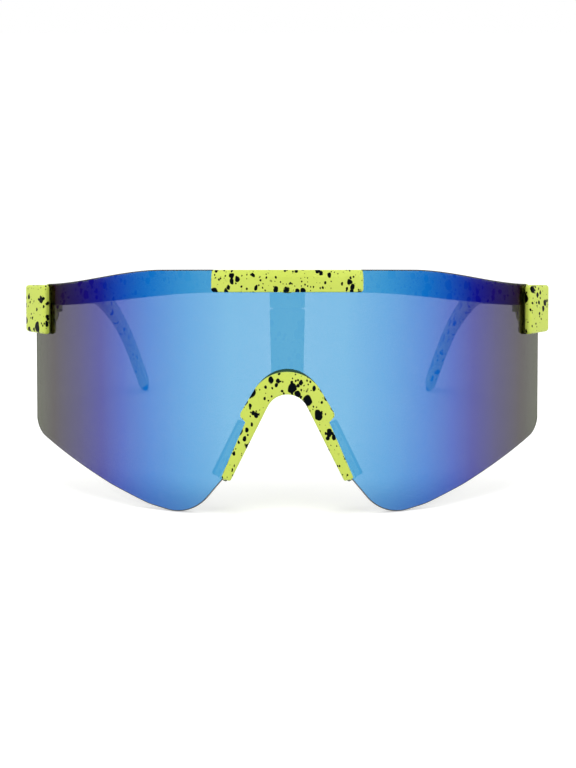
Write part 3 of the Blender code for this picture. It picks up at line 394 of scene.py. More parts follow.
def turned(profile, place, around=48):
    # a round solid: a profile of (radius, level) pairs from the axis back to the axis, turned about it
    radius, level = np.asarray(profile, float).T
    radius = np.maximum(radius, 1e-4)[:, None]
    angle = np.linspace(0, 2 * math.pi, around, endpoint=False)
    return skin(place(radius * np.cos(angle), radius * np.sin(angle), level[:, None]))


def drum(radius, low, high, bevel, hole=0.0, sunk=0.0, edge=0.1):
    # the profile of a round block with rounded rims, with a chamfered hole sunk in its far end if it has one
    levels, drawn = ends(low, high, bevel)
    end = [(hole + edge, high), (hole, high - edge), (hole, high - sunk), (0, high - sunk)] if hole else [(0, high)]
    return [(0, low), *zip(radius - drawn, levels), *end]


def bend(before, corner, after, steps=None):
    # One corner (across, up, fillet) of an outline as an arc that touches both its sides: the middle lies on the
    # bisector, the fillet over the cosine of half the sweep away. Without steps there is a point every four degrees.
    fillet = corner[2]
    corner, p, q = (np.array(item[:2], float) for item in (corner, before, after))
    a, b = unit(p - corner), unit(q - corner)
    sweep = math.pi - math.acos(np.clip(a @ b, -1, 1))
    if fillet <= 0 or sweep < 1e-3:
        return corner[None]
    middle = corner + unit(a + b) * fillet / math.cos(sweep / 2)
    start, end = (corner + leg * fillet * math.tan(sweep / 2) - middle for leg in (a, b))
    share = np.linspace(0, 1, steps or max(3, int(sweep / math.radians(4)) + 2))[:, None]
    return middle + (np.sin((1 - share) * sweep) * start + np.sin(share * sweep) * end) / math.sin(sweep)


def rounded(corners, steps=5):
    # a closed counter-clockwise loop through corners, each rounded by its fillet
    after = corners[1:] + corners[:1]
    return np.vstack([bend(corners[k - 1], corner, after[k], steps) for k, corner in enumerate(corners)])


def filleted(corners):
    # an open chain through corners, each inner one rounded by its fillet
    inner = [bend(*three) for three in zip(corners, corners[1:], corners[2:])]
    return np.vstack([corners[0][:2], *inner, corners[-1][:2]])


def oblong(wide, high, fillet, steps=5):
    # a rectangle with rounded corners, between two places across and two places up
    return rounded([(wide[1], high[0], fillet), (wide[1], high[1], fillet),
                    (wide[0], high[1], fillet), (wide[0], high[0], fillet)], steps)


def smoothRise(share):
    # from 0 to 1 with level ends: three times the square less twice the cube
    share = np.clip(share, 0.0, 1.0)
    return share * share * (3 - 2 * share)


# Lens

lens = {
    "radius": 92.0, "thickness": 2.0, "halfWidth": 71.9, "height": 65.3, "bevel": 0.3,
    "drop": 3.9, "dropStart": 34.0, "dropStop": 2.9, "tabTop": 59.5, "tabEdge": 67.7,
    "recess": 1.7, "recessHalf": 20.5, "recessPlay": 0.3, "notchHalf": 3.2, "notchDepth": 6.0,
    "outline": (
        # the lower outline from its side inwards: shares of the half width and of the height, and the fillet
        (1.0, 0.305, 7.0), (0.679, 0.0934, 30.0), (0.5285, 0.0207, 20.0), (0.3644, -0.0245, 11.5),
    ),
    "noseCorner": 11.3, "noseFillet": 2.0,
    "spacing": 1.1, "rows": 47, "margin": 0.02, "notchColumns": 9, "rimSteps": (0.0, 0.03, 0.09, 0.18, 0.3),
}
nose = {"footHalf": 14.95, "footHeight": 8.8, "angle": math.radians(26.3), "topRadius": 6.2, "web": 1.3,
        "footDown": 0.35, "straight": 20.0}
channelGap = 0.25  # play between the lens and what grips it
lipFront = -2.25   # front of all the lips that grip it


def wrap(along, depth, height):
    # bends a flat place round the lens's upright axis: distance along its front, depth behind it, height
    along, depth, height = np.broadcast_arrays(along, depth, height)
    angle, radius = along / lens["radius"], lens["radius"] - depth
    return np.stack([radius * np.sin(angle), lens["radius"] - radius * np.cos(angle), height], -1)


def alongOf(x, depth=0.0):
    # distance along the lens's front of a place at x and some depth: the radius times its angle
    return lens["radius"] * np.arcsin(np.asarray(x) / (lens["radius"] - depth))


def fall(edge, x):
    # how far an edge of the lens or the bar has dropped at x: none in the middle, and a smooth rise to its full drop
    run = lens["halfWidth"] - edge["dropStop"] - edge["dropStart"]
    return edge["drop"] * smoothRise((np.abs(x) - edge["dropStart"]) / run)


def lensTop(x):
    # height of the upper edge
    return lens["height"] - fall(lens, x)


def legLine(height, outside=0.0):
    # half width of the nose opening at a height, moved outwards by some distance
    return (nose["footHalf"] - (height - nose["footHeight"]) * math.tan(nose["angle"])
            + outside / math.cos(nose["angle"]))


def noseApex(outside=0.0):
    # where the two sides of the nose opening would meet, as a corner with the radius of its crown
    height = nose["footHeight"] + legLine(nose["footHeight"], outside) / math.tan(nose["angle"])
    return (0.0, height, nose["topRadius"] + outside)


def lowerEdge():
    # the lens's lower outline from its side to the top of the nose, as (along, height)
    groove = nose["web"] + channelGap
    half = [(float(alongOf(lens["halfWidth"])), lens["tabTop"], 0.0)]
    half += [(float(alongOf(x * lens["halfWidth"])), z * lens["height"], fillet) for x, z, fillet in lens["outline"]]
    half += [(legLine(lens["noseCorner"], groove), lens["noseCorner"], lens["noseFillet"]), noseApex(groove),
             (-legLine(nose["straight"], groove), nose["straight"], 0.0)]
    chain = filleted(half)
    return chain[chain[:, 0] >= -1e-9]


def makeLens():
    # Two shells a lens's thickness apart on one grid: columns stand along the wrap, one on either side of each jump
    # in the upper outline, and rows run from the lower outline up to the upper one. Near the rim both shells draw
    # together along a quarter circle, and a band joins them.
    edge = lowerEdge()
    edge = edge[np.argsort(edge[:, 0])]
    side, tab = float(alongOf(lens["halfWidth"])), float(alongOf(lens["tabEdge"]))
    clipEdge = float(alongOf(lens["recessHalf"], lipFront)) + lens["recessPlay"]
    notch, tiny, rimSteps = lens["notchHalf"], lens["margin"], np.array(lens["rimSteps"])
    jumps = np.array([notch, clipEdge, tab])
    wanted = np.r_[edge[:, 0], np.arange(0, side, lens["spacing"]), side - rimSteps, jumps - tiny,
                   jumps + tiny, np.linspace(0, notch - tiny, lens["notchColumns"])]
    wanted = np.unique(np.round(wanted[(wanted >= 0) & (wanted <= side)], 4))
    places = np.r_[-wanted[:0:-1], wanted]
    out = np.abs(places)
    last = side - 1e-6
    bottom = np.where(out > last, edge[edge[:, 0] > last][:, 1].min(), np.interp(out, edge[:, 0], edge[:, 1]))
    arch = lens["height"] - lens["notchDepth"] + notch - np.sqrt(np.maximum(notch ** 2 - out ** 2, 0.0))
    top = np.select([out < notch, out < clipEdge, out > tab], [arch, lens["height"] - lens["recess"], lens["tabTop"]],
                    lensTop(lens["radius"] * np.sin(out / lens["radius"])))
    bottom, top = bottom[:, None], top[:, None]
    rows = np.linspace(lens["margin"], 1 - lens["margin"], lens["rows"])
    share = np.r_[0 * rimSteps, rows, 0 * rimSteps + 1]
    height = bottom + (top - bottom) * share + np.r_[rimSteps, 0 * rows, -rimSteps[::-1]]
    toRim = np.minimum(np.minimum(height - bottom, top - height), (side - out)[:, None])
    inset = rolled(toRim, lens["bevel"])
    front, back = (wrap(places[:, None], depth, height) for depth in (inset, lens["thickness"] - inset))
    n, m = height.shape
    quads = gridFaces(n, m)
    i, j = np.arange(n), np.arange(m)
    loop = np.r_[i * m, (n - 1) * m + j[1:], i[-2::-1] * m + m - 1, j[-2:0:-1]]
    after = np.roll(loop, -1)
    band = np.stack([loop, after, after + n * m, loop + n * m], -1)
    points = np.vstack([front.reshape(-1, 3), back.reshape(-1, 3)])
    every = np.vstack([quads, quads[:, ::-1] + n * m, band[:, ::-1]])
    atRim = toRim.reshape(-1)[quads].mean(1) < lens["bevel"]
    kinds = np.r_[np.where(atRim, 2, 0), np.ones(len(quads) + len(band))]  # places in the list of looks
    addPiece("shieldLens", [(points, every.tolist())], "coat smoke edge", "front", "shield_lens", sharp=40.0,
             lookOf=kinds)


makeLens()
print("lens made")


# Front frame

bar = {
    "front": 2.3, "thickness": 3.0, "setback": 0.25, "raised": 0.2, "height": 6.0, "fillet": 0.45, "reach": 67.4,
    "drop": 3.8, "dropStart": 20.0, "dropStop": 1.9,
}
clip = {
    "half": lens["recessHalf"], "back": 4.8, "top": 65.175, "foot": 59.22, "roof": 63.85, "lip": 0.45,
    "fillet": 0.8, "endRound": 0.5, "browDeep": 0.55, "browTall": 1.9, "bossBack": 4.0, "bossRound": 0.1,
    "rimSteps": (0.0, 0.03, 0.1, 0.2, 0.33, 0.5, 0.65, 0.8),
}
socket = {"half": 4.9, "drop": 4.1, "thickness": 4.0, "fillet": 0.6, "bevel": 0.4}


def barBottom(x):
    # height of the brow bar's lower edge
    return lens["height"] - bar["setback"] - bar["height"] - fall(bar, x)


def browBar():
    # An oblong section with rounded corners, carried along the back of the lens; its height follows the brow line.
    reach = float(alongOf(bar["reach"], bar["front"]))
    places = np.linspace(-reach, reach, 97)
    across = np.abs((lens["radius"] - bar["front"]) * np.sin(places / lens["radius"]))[:, None]
    top, foot = lensTop(across) - bar["setback"] + bar["raised"], barBottom(across)
    half = bar["height"] / 2
    shape = oblong((bar["front"], bar["front"] + bar["thickness"]), (-half, half), bar["fillet"], 6)
    depth, up = shape.T
    level = np.where(up > 0, top + up - half, foot + up + half)
    return skin(wrap(places[:, None], depth, level))


def browClip():
    # A hook-shaped section over the top edge of the lens: a lip in front with a sloped brow, a roof, and a foot
    # sunk in the bar. Towards both ends it draws in, and its corners rise along a quarter circle.
    half = float(alongOf(clip["half"], lipFront))
    near, inner = np.array(clip["rimSteps"]), half - 2 * clip["fillet"]
    places = np.r_[near - half, np.linspace(-inner, inner, 41), half - near[::-1]][:, None]
    toEnd = half - np.abs(places)
    section = rounded([
        (lipFront, clip["foot"], clip["lip"]), (-channelGap, clip["foot"], 0.2), (-channelGap, clip["roof"], 0.15),
        (clip["back"], clip["roof"], 0.15), (clip["back"], clip["top"], 0.3),
        (lipFront + clip["browDeep"], clip["top"], 0.35), (lipFront, clip["top"] - clip["browTall"], 1.6),
    ], 6)
    loop = drawnIn(section, rolled(toEnd, clip["endRound"])[..., None])
    share = (loop[..., 1] - clip["foot"]) / (clip["top"] - clip["foot"])
    return skin(wrap(places, loop[..., 0], loop[..., 1] + rolled(toEnd, clip["fillet"]) * (1 - 2 * share)))


def boss():
    # the peg of the clip that fills the notch in the lens: the notch's half circle and sides, less the play
    half = lens["notchHalf"] - channelGap
    foot = lens["height"] - lens["notchDepth"] + channelGap
    loop = rounded([(half, foot, half * 0.95), (half, clip["roof"], 0), (-half, clip["roof"], 0),
                    (-half, foot, half * 0.95)], 9)
    return block(loop, -clip["bossRound"], clip["bossBack"], clip["bossRound"],
                 lambda across, level, back: wrap(across, back, level))


def postSocket():
    # a block under the middle of the brow bar, up to half its height
    foot = float(barBottom(0))
    loop = oblong((-socket["half"], socket["half"]), (bar["front"], bar["front"] + socket["thickness"]),
                  socket["fillet"])
    return block(loop, foot - socket["drop"], foot + bar["height"] / 2, socket["bevel"], wrap)


endPiece = {
    "lipInner": 67.4, "outer": 74.8, "top": 61.1, "height": 14.0, "backExtra": 1.1, "bevel": 0.9, "play": 0.1,
    "slant": 0.10, "slopeWide": 1.2, "slopeDeep": 1.7,
}
hinge = {
    "x": 67.7, "y": 41.004, "splay": math.radians(7), "butt": 2.5, "seat": 0.3, "wall": 1.4, "earFrom": 1.9,
    "earTo": 3.7, "knuckle": 2.6, "bottom": 53.3, "lug": 2.1, "lugRound": 0.35, "footExtra": 0.5, "footFront": 2.19,
    "footBack": 2.35, "middle": 2.9, "pivot": 10.2, "pivotLevel": 55.5, "disc": 5.4, "run": 0.08,
    "pin": 0.7, "pinHead": 1.25, "pinHeadHeight": 0.8, "screw": 0.9, "screwHead": 1.7, "screwHeadHeight": 1.0,
    "screwSink": 0.7,
}


def temple(side):
    # places of one temple (outwards, back, level), turned by its splay about the hinge pin
    c, s = math.cos(hinge["splay"]), math.sin(hinge["splay"])

    def place(w, v, z):
        w, v, z = np.broadcast_arrays(w, v, z)
        return np.stack([side * (hinge["x"] + w * c - v * s), hinge["y"] + w * s + v * c, z], -1)
    return place


def endOutline():
    # Plan of the block that holds one end of the lens: its curved front lip, the butt behind it, the pocket of the
    # hinge, and the back lip; counter-clockwise seen from above, for the wearer's left.
    inner, outer, splay = endPiece["lipInner"], endPiece["outer"], hinge["splay"]

    def behind(x, depth):
        # the place at x on the circle some depth behind the lens's front: its radius less the leg of a right angle
        return x, lens["radius"] - math.sqrt((lens["radius"] - depth) ** 2 - x ** 2)
    put, lipRadius = temple(1), lens["radius"] - lipFront
    angle = np.linspace(math.asin((inner + endPiece["slopeWide"]) / lipRadius), math.asin(outer / lipRadius), 9)
    front = np.c_[lipRadius * np.sin(angle), lens["radius"] - lipRadius * np.cos(angle)]
    buttWide = (outer - hinge["x"]) / math.cos(splay) + hinge["butt"] * math.tan(splay)
    butt, reach, pocket = (put(w, v, 0.0)[:2] for w, v in (
        (buttWide, hinge["butt"]), (hinge["earTo"], hinge["butt"]), (hinge["earTo"], -hinge["knuckle"] / 2)))
    back, channel = inner - endPiece["backExtra"], lens["thickness"] + endPiece["play"]
    return rounded([
        (*behind(inner, lipFront + endPiece["slopeDeep"]), 0.3), (*front[0], 1.0), *((*p, 0.0) for p in front[1:-1]),
        (*front[-1], 1.3), (*butt, 0.8), (*reach, 0.4), (*pocket, 0.4),
        (*behind(back, bar["front"] + bar["thickness"]), 0.7), (*behind(back, channel), 0.5),
        (*behind(inner, channel), 0.0)], 6)


def endBlock(side):
    # the plan carried upright with rounded rims; its foot rises outwards by the slant times the distance
    low, high = endPiece["top"] - endPiece["height"], endPiece["top"]

    def place(x, y, z):
        share = (high - z) / (high - low)
        z = z + share * endPiece["slant"] * np.maximum(x - endPiece["lipInner"], 0.0)
        return np.stack([side * x, y, z], -1)
    return block(endOutline(), low, high, endPiece["bevel"], place, between=6)


def lugs(side):
    # the outer knuckles: two short barrels on the fold axis, the upper one sunk for the screw's head, each with a
    # foot that ties it to the end piece
    made, put, low, edge = [], temple(side), hinge["bottom"], hinge["lugRound"]
    plan = oblong((0, hinge["earTo"] + hinge["footExtra"]), (-hinge["footFront"], hinge["footBack"]), 0.3)
    high, sunk = low + hinge["lug"] + hinge["middle"] + 2 * channelGap, hinge["pinHead"] + hinge["run"]
    for foot, hole in ((low, 0), (high, sunk)):
        top = foot + hinge["lug"]
        made.append(turned(drum(hinge["knuckle"], foot, top, edge, hole, hinge["pinHeadHeight"], 0.08), put))
        made.append(block(plan, foot + 0.8 * edge, top - 0.8 * edge, 0.2, put))
    return made


addPiece("browBar", [browBar(), postSocket()], "plastic", "front", "front_frame")
addPiece("browClip", [browClip(), boss()], "plastic", "front", "front_frame")
for side, word in sides:
    addPiece("endPiece_" + word, [endBlock(side), *lugs(side)], "plastic", "front", "front_frame")
print("front frame made")


# Nose bridge and pads

bridge = {
    "back": 4.45, "topRadius": 10.3, "archAngle": math.radians(30.3), "shoulderHalf": 12.45, "shoulderHeight": 26.8,
    "shoulderDepth": 0.9, "step": 1.4, "footWide": 2.55, "footRise": 0.8, "crownRadius": 5.7, "draft": 0.85,
    "bevel": 0.55, "meet": 23.6, "legSteps": 60, "archSteps": 40, "tip": (0.0, 0.05, 0.14, 0.28, 0.5),
    "tipRound": 0.5, "tipSkip": 0.9,
}
post = {
    "topHalf": 4.9, "footHalf": 4.45, "foot": 36.0, "gap": 0.3, "play": 0.08, "bevel": 0.35,
    "neckHalf": 4.1, "neckDeep": (3.8, 4.8), "neckDown": 1.5, "neckUp": 0.6, "neckRound": 0.2, "neckBevel": 0.15,
}
# the strip of painted shade along the clip's crown
shadeStrip = {"reach": 8.2, "height": 0.68, "depth": 1.3, "over": 0.02, "front": -0.05, "sunk": -0.35}
wing = {"top": 22.3, "length": 16.0, "depth": 5.0, "sink": 1.35, "thickness": 1.5, "splay": math.radians(22),
        "fillet": 1.2, "bevel": 0.45}
pad = {"length": 16.6, "depth": 5.8, "thickness": 1.5, "bead": 1.9, "gap": 0.3, "bevel": 0.45}


def evenly(chain, count):
    # points at even shares of the length of a chain
    gaps = np.linalg.norm(np.diff(chain, axis=0), axis=1)
    length = np.r_[[0], np.cumsum(gaps)]
    share = np.linspace(0, 1, count) * length[-1]
    return np.stack([np.interp(share, length, chain[:, k]) for k in range(2)], -1)


def archPeak():
    # where the two straight flanks of the clip's outer outline would meet
    return bridge["shoulderHeight"] + bridge["shoulderHalf"] / math.tan(bridge["archAngle"])


def archSides():
    # The outlines of one half of the clip, from its foot to the crown, as pairs of inner and outer places. The inner
    # one follows the nose opening, the outer one has the shoulder. The foot has close pairs for its rounding.
    foot, half, shoulder = nose["footHeight"] - nose["footDown"], bridge["shoulderHalf"], bridge["shoulderHeight"]
    under, step = shoulder - bridge["shoulderDepth"], bridge["step"]
    outer = filleted([
        (legLine(foot) + bridge["footWide"], foot + bridge["footRise"], 0), (half - step, under - step, 0.25),
        (half, under, 0.25), (half, shoulder, 0.4), (0.0, archPeak(), bridge["topRadius"]), (-half, shoulder, 0)])
    inner = filleted([(legLine(foot), foot, 0), (*noseApex()[:2], bridge["crownRadius"]),
                      (-legLine(nose["straight"]), nose["straight"], 0)])
    outer, inner = outer[outer[:, 0] >= 0], inner[inner[:, 0] >= -1e-9]
    outer[-1, 0] = inner[-1, 0] = 0.0
    cut = int(np.argmax(outer[:, 1] >= shoulder - 0.02))
    meet = np.array([legLine(bridge["meet"]), bridge["meet"]])
    outer, inner = (
        np.vstack([evenly(leg, bridge["legSteps"]), evenly(arch, bridge["archSteps"])[1:]])
        for leg, arch in ((outer[:cut + 1], outer[cut:]), (np.array([inner[0], meet]), np.vstack([meet, inner[1:]]))))
    run = unit(outer[1] - outer[0]) * np.array(bridge["tip"])[:, None]
    keep = outer[:, 1] > outer[0, 1] + bridge["tipSkip"]
    return np.vstack([inner[0] + run, inner[keep]]), np.vstack([outer[0] + run, outer[keep]])


def bridgeArch():
    # A rounded section carried from one foot over the arch to the other. Both feet draw in along a quarter circle,
    # and the inner wall leans back by its draft.
    tip = np.array(bridge["tip"])
    inner, outer = archSides()
    drawn = np.r_[rolled(tip, bridge["tipRound"]), np.zeros(len(inner) - len(tip))]
    inner, outer = (np.vstack([half, half[-2::-1] * [-1, 1]]) for half in (inner, outer))
    drawn = np.r_[drawn, drawn[-2::-1]][:, None]
    wide = np.linalg.norm(outer - inner, axis=1)[:, None]
    turn = np.linspace(0, math.pi / 2, 5)
    side, face = bridge["bevel"] * (1 - np.cos(turn)), bridge["bevel"] * (1 - np.sin(turn))
    front, back = lipFront + drawn, bridge["back"] - drawn
    across = np.hstack([drawn + side[::-1], drawn + bridge["draft"] + side, wide - drawn - side[::-1],
                        wide - drawn - side])
    depth = np.hstack([front + face[::-1], back - face, back - face[::-1], front + face])
    flat = inner[:, None] + ((outer - inner) / wide)[:, None] * across[..., None]
    return skin(wrap(flat[..., 0], depth, flat[..., 1]))


def bridgePost():
    # an upright bar behind the lens, which widens evenly from its foot to its top, and its neck in the socket
    mouth = float(barBottom(0)) - socket["drop"]
    low, high = post["foot"], mouth - post["gap"]
    front, back = bar["front"] + post["play"], bridge["back"] - post["play"]
    loop = oblong((-post["footHalf"], post["footHalf"]), (front, back), post["bevel"])

    def place(across, depth, level):
        grow = (post["topHalf"] - post["footHalf"]) / post["footHalf"] * (level - low) / (high - low)
        return wrap(across * (1 + grow), depth, level)
    neck = oblong((-post["neckHalf"], post["neckHalf"]), post["neckDeep"], post["neckRound"])
    return [block(loop, low, high, post["bevel"], place, between=4),
            block(neck, mouth - post["neckDown"], mouth + post["neckUp"], post["neckBevel"], wrap)]


def shadeStripPiece():
    # A dark crescent on the lens along the crown of the clip, painted shade for the dark line there: its height over
    # the clip's outline falls off with the square of the distance from the middle.
    places = np.linspace(-shadeStrip["reach"], shadeStrip["reach"], 49)[:, None]
    radius, angle = bridge["topRadius"], bridge["archAngle"]
    crown = archPeak() - radius / math.sin(angle) + np.sqrt(radius ** 2 - places ** 2)
    proud = shadeStrip["height"] * (1 - (places / shadeStrip["reach"]) ** 2) + shadeStrip["over"]
    turn = np.linspace(0, math.pi, 9)
    depth = shadeStrip["front"] - shadeStrip["depth"] / 2 * (1 - np.cos(np.r_[[0], turn, [math.pi]]))
    up = np.r_[[shadeStrip["sunk"]], np.sin(turn) ** 0.5, [shadeStrip["sunk"]]]
    return skin(wrap(places, depth, crown + np.where(up > 0, up * proud, up)))


def wingPlace(side):
    # places on one nose wing: down the leg, back along the wing, towards the nose
    a, s = nose["angle"], wing["splay"]
    down = np.array([math.sin(a), 0, -math.cos(a)])
    outward = np.array([math.cos(a), 0, math.sin(a)])
    back = np.array([0, math.cos(s), 0]) + outward * math.sin(s)
    inward = np.cross(back, down)
    start = np.array([legLine(wing["top"], nose["web"]), bridge["back"] - wing["sink"], wing["top"]])

    def place(p, q, r):
        p, q, r = (value[..., None] for value in np.broadcast_arrays(p, q, r))
        return (start + p * down + q * back + r * inward) * [side, 1, 1]
    return place


def noseWing(side):
    # an oblong plate on the leg, from its root in the clip to its back edge
    loop = oblong((0, wing["length"]), (0, wing["depth"] + wing["sink"]), wing["fillet"], 7)
    return block(loop, -wing["thickness"], 0.0, wing["bevel"], wingPlace(side))


def nosePad(side):
    # A hooked section carried down the wing: a soft sheet on the nose side and a bead over the wing's back edge.
    put = wingPlace(side)
    edge, top, foot = wing["depth"] + wing["sink"] + pad["gap"], pad["gap"] + pad["thickness"], -wing["thickness"]
    start, end = edge - pad["depth"] + pad["bead"], edge + pad["bead"]
    section = rounded([(edge, pad["gap"], 0.1), (edge, foot, 0.5), (end, foot, 0.8), (end, top, 1.1),
                       (start, top, 0.7), (start, pad["gap"], 0.35)], 7)
    low = -(pad["length"] - wing["length"]) / 2
    return block(section, low, low + pad["length"], pad["bevel"], lambda q, r, p: put(p, q, r))


noseParts = [bridgeArch(), *bridgePost(), noseWing(1), noseWing(-1)]
addPiece("noseClip", noseParts, "plastic", "front", "nose_bridge")
# painted shade: a dark strip where the lens shows a dark line along the clip's crown
addPiece("noseShadeStrip", [shadeStripPiece()], "shadeStrip", "front")
for side, word in sides:
    addPiece("nosePad_" + word, [nosePad(side)], "silicone", "front", "nose_pad_" + word)
print("nose bridge made")


# Temples

arm = {
    "middle": 5.3, "level": 58.2, "height": 6.4, "thickness": 4.0, "fillet": 1.1, "sleeve": 33.0, "taper": 16.0,
    "straight": 56.0, "hookHeight": 7.6, "hookThickness": 3.1, "hookRadius": 49.0, "hookAngle": math.radians(60),
    "tail": 8.0, "tailSlim": 0.08, "tip": 3.2, "tipTurn": math.radians(86), "tipHeight": 0.3, "tipThickness": 0.22,
    "lean": 0.23, "leanShare": 0.8, "cavity": 29.0, "mouth": 19.1, "rim": 0.3, "between": (25.0, 29.0),
    "rimSteps": (0.0, 0.05, 0.15, 0.3, 1.5, 4.0),
}
rail = {"thickness": 1.8, "height": 3.8, "play": 0.2, "inset": 4.3, "end": 46.6, "fillet": 0.4, "bevel": 0.3}
slide = {
    "travel": 10.0, "stops": 4, "start": 9.8, "screw": 0.9, "play": 0.25, "swell": 0.3, "depth": 0.98, "edge": 0.02,
    "seam": 0.05, "margin": 0.03, "head": 1.6, "headHeight": 0.6, "headPlace": 38.9, "foot": -6.2,
}


def armPath():
    # Stations down the arm: place back, level, slope, height and thickness. The sleeve is straight, the hook runs
    # along a circle, and the tail goes on straight to a tip whose sizes follow a quarter circle. The height grows
    # in two smooth halves, one behind the sleeve and one in the hook.
    angle, radius, straight = arm["hookAngle"], arm["hookRadius"], arm["straight"]
    slotHalf, near = slide["screw"] + slide["play"] + slide["swell"], slide["margin"]
    first, last = slide["start"] - slotHalf, slide["start"] + slide["travel"] + slotHalf
    flat = np.r_[arm["rimSteps"], [first - near], np.linspace(first + near, last - near, 61),
                 [last + near], arm["between"], np.linspace(arm["sleeve"], straight, 24)]
    hook = np.linspace(0, angle, 41)[1:]
    tail = np.r_[np.linspace(0, arm["tail"], 5)[1:],
                 arm["tail"] + arm["tip"] * np.sin(np.linspace(0, arm["tipTurn"], 12)[1:])]
    slope = np.r_[0 * flat, hook, 0 * tail + angle]
    beyond = np.r_[0 * flat, 0 * hook, tail]
    v = np.r_[flat, 0 * hook + straight, 0 * tail + straight]
    v = v + radius * np.sin(slope) + beyond * math.cos(angle)
    z = arm["level"] - radius * (1 - np.cos(slope)) - beyond * math.sin(angle)
    swell, growth = smoothRise((v - arm["sleeve"]) / arm["taper"]), (arm["hookHeight"] - arm["height"]) / 2
    height = arm["height"] + growth * (swell + smoothRise(2 * slope / angle))
    thickness = arm["thickness"] + (arm["hookThickness"] - arm["thickness"]) * swell
    size = np.sqrt(1 - np.clip((beyond - arm["tail"]) / arm["tip"], 0, 1) ** 2)
    height = height * (1 - arm["tailSlim"] * np.clip(beyond / arm["tail"], 0, 1))
    height = height * (arm["tipHeight"] + (1 - arm["tipHeight"]) * size)
    thickness = thickness * (arm["tipThickness"] + (1 - arm["tipThickness"]) * size)
    mouth = rolled(v, arm["rim"])
    return v, z, slope, height - 2 * mouth, thickness - 2 * mouth


def slotShape(v):
    # half width and depth of the slot at the stations: a straight slot with a round notch at each stop
    slotHalf = slide["screw"] + slide["play"]
    stops = slide["start"] + slide["travel"] * np.arange(slide["stops"]) / (slide["stops"] - 1)
    width = np.sqrt(np.maximum((slotHalf + slide["swell"]) ** 2 - (v[:, None] - stops) ** 2, 0.0)).max(1)
    width = np.where((v > stops[0]) & (v < stops[-1]), np.maximum(width, slotHalf), width)
    deep = np.where(width > slide["seam"], slide["depth"], 0.0)
    return np.maximum(width, slide["seam"])[:, None], deep[:, None]


def templeArm(side):
    # Rounded sections carried down the path of the arm, from inside the mouth of its sleeve, round the rim and back
    # to the tip. On the inner face the columns between the edges of the slot are pushed in, which makes the slot.
    # The hook leans outwards as it goes down.
    v, z, slope, height, thickness = armPath()
    width, deep = slotShape(v)
    w, h = thickness[:, None] / 2, height[:, None] / 2
    f = np.minimum(arm["fillet"], 0.9 * np.minimum(w, h))
    e, none = slide["edge"], 0 * w
    turn = np.linspace(0, math.pi / 2, 6)
    c, s = f * np.cos(turn), f * np.sin(turn)
    across = np.hstack([w - f + c[:, ::-1], w, w - f + c, f - w - c[:, ::-1], -w, deep - w, deep - w, deep - w, -w,
                        f - w - c])
    up = np.hstack([f - h - s[:, ::-1], none, h - f + s, h - f + s[:, ::-1], width + e, width - e, none, e - width,
                    -width - e, f - h - s])
    level = z[:, None] - arm["level"] + up * np.cos(slope)[:, None]
    back = v[:, None] + up * np.sin(slope)[:, None]
    angle = np.arctan2(level[0], across[0])
    halfWide, halfHigh = rail["thickness"] / 2 + rail["play"], rail["height"] / 2 + rail["play"]
    scale = 1 / np.maximum(np.abs(np.cos(angle)) / halfWide, np.abs(np.sin(angle)) / halfHigh)
    depths = np.array([[arm["cavity"]], [arm["rim"] / 2], [0.0]])
    across = np.vstack([scale * np.cos(angle) + 0 * depths, across])
    level = np.vstack([scale * np.sin(angle) + 0 * depths, level])
    back = np.vstack([depths + 0 * angle, back])
    centre = np.r_[[0.0] * 3, v][:, None]
    reach = arm["hookRadius"] * math.sin(arm["hookAngle"]) * arm["leanShare"]
    lean = arm["lean"] * smoothRise((centre - arm["straight"]) / reach)
    return skin(temple(side)(arm["middle"] + across + lean * level, arm["mouth"] + back, arm["level"] + level),
                "drawn")


for side, word in sides:
    addPiece("templeArm_" + word, [templeArm(side)], "plastic", "arm_" + word, "temple_arm_" + word)
print("temples made")


# Hinge blocks, tilt links and screws

hardware = {
    "wallFillet": 0.4, "wallBevel": 0.45, "cheek": 0.2, "rim": 0.35, "webPlay": 0.17, "webExtra": 0.52,
    "linkFrom": 4.0, "linkTo": 6.6, "neckLow": 55.0, "neckHigh": 61.05, "neckEnd": 18.8, "neckFillet": 0.7,
    "neckBevel": 0.5, "slotWide": 0.4, "slotDeep": 0.32, "landSunk": 0.03, "landRound": 0.07,
    "foldFoot": 0.35, "tiltFoot": -5.82,
}


def sideways(side, back, up):
    # a frame whose level runs out of the inner face of a temple, for what is turned about the tilt pivot
    put = temple(side)
    return lambda a, b, level: put(-level, back + a, up + b)


def plate(side, v, z, w, fillet, bevel):
    # an oblong plate that faces sideways, between two places back, up and outwards
    put = temple(side)
    return block(oblong(v, z, fillet), w[0], w[1], bevel, lambda a, b, level: put(level, a, b))


def hingeBlock(side):
    # the wall that butts on the end piece, the ear with its round face sunk for the screw, and the middle knuckle
    inner, outer, cheek = hinge["earFrom"], hinge["earTo"], hardware["cheek"]
    pivot, level, disc, put = hinge["pivot"], hinge["pivotLevel"], hinge["disc"], temple(side)
    front, low, high = hinge["butt"] + hinge["seat"], level - disc, level + disc
    middle, foot = front + hinge["wall"] / 2, hinge["bottom"] + hinge["lug"] + channelGap
    top = foot + hinge["middle"]
    wall = oblong((inner, hardware["linkTo"]), (front, front + hinge["wall"]), hardware["wallFillet"])
    web = oblong((-hardware["webExtra"], outer - cheek), (0, middle), 0.3)
    face = drum(disc, -outer, -inner, hardware["rim"], hinge["screwHead"] + hinge["run"], hinge["screwSink"])
    return [
        block(wall, low, high, hardware["wallBevel"], put),
        plate(side, (middle, pivot), (low + cheek, high - cheek), (inner + cheek, outer - cheek), 0.3, 0.3),
        turned(face, sideways(side, pivot, level), 96),
        turned(drum(hinge["knuckle"], foot, top, 0.2), put),
        block(web, foot + hardware["webPlay"], top - hardware["webPlay"], 0.1, put),
    ]


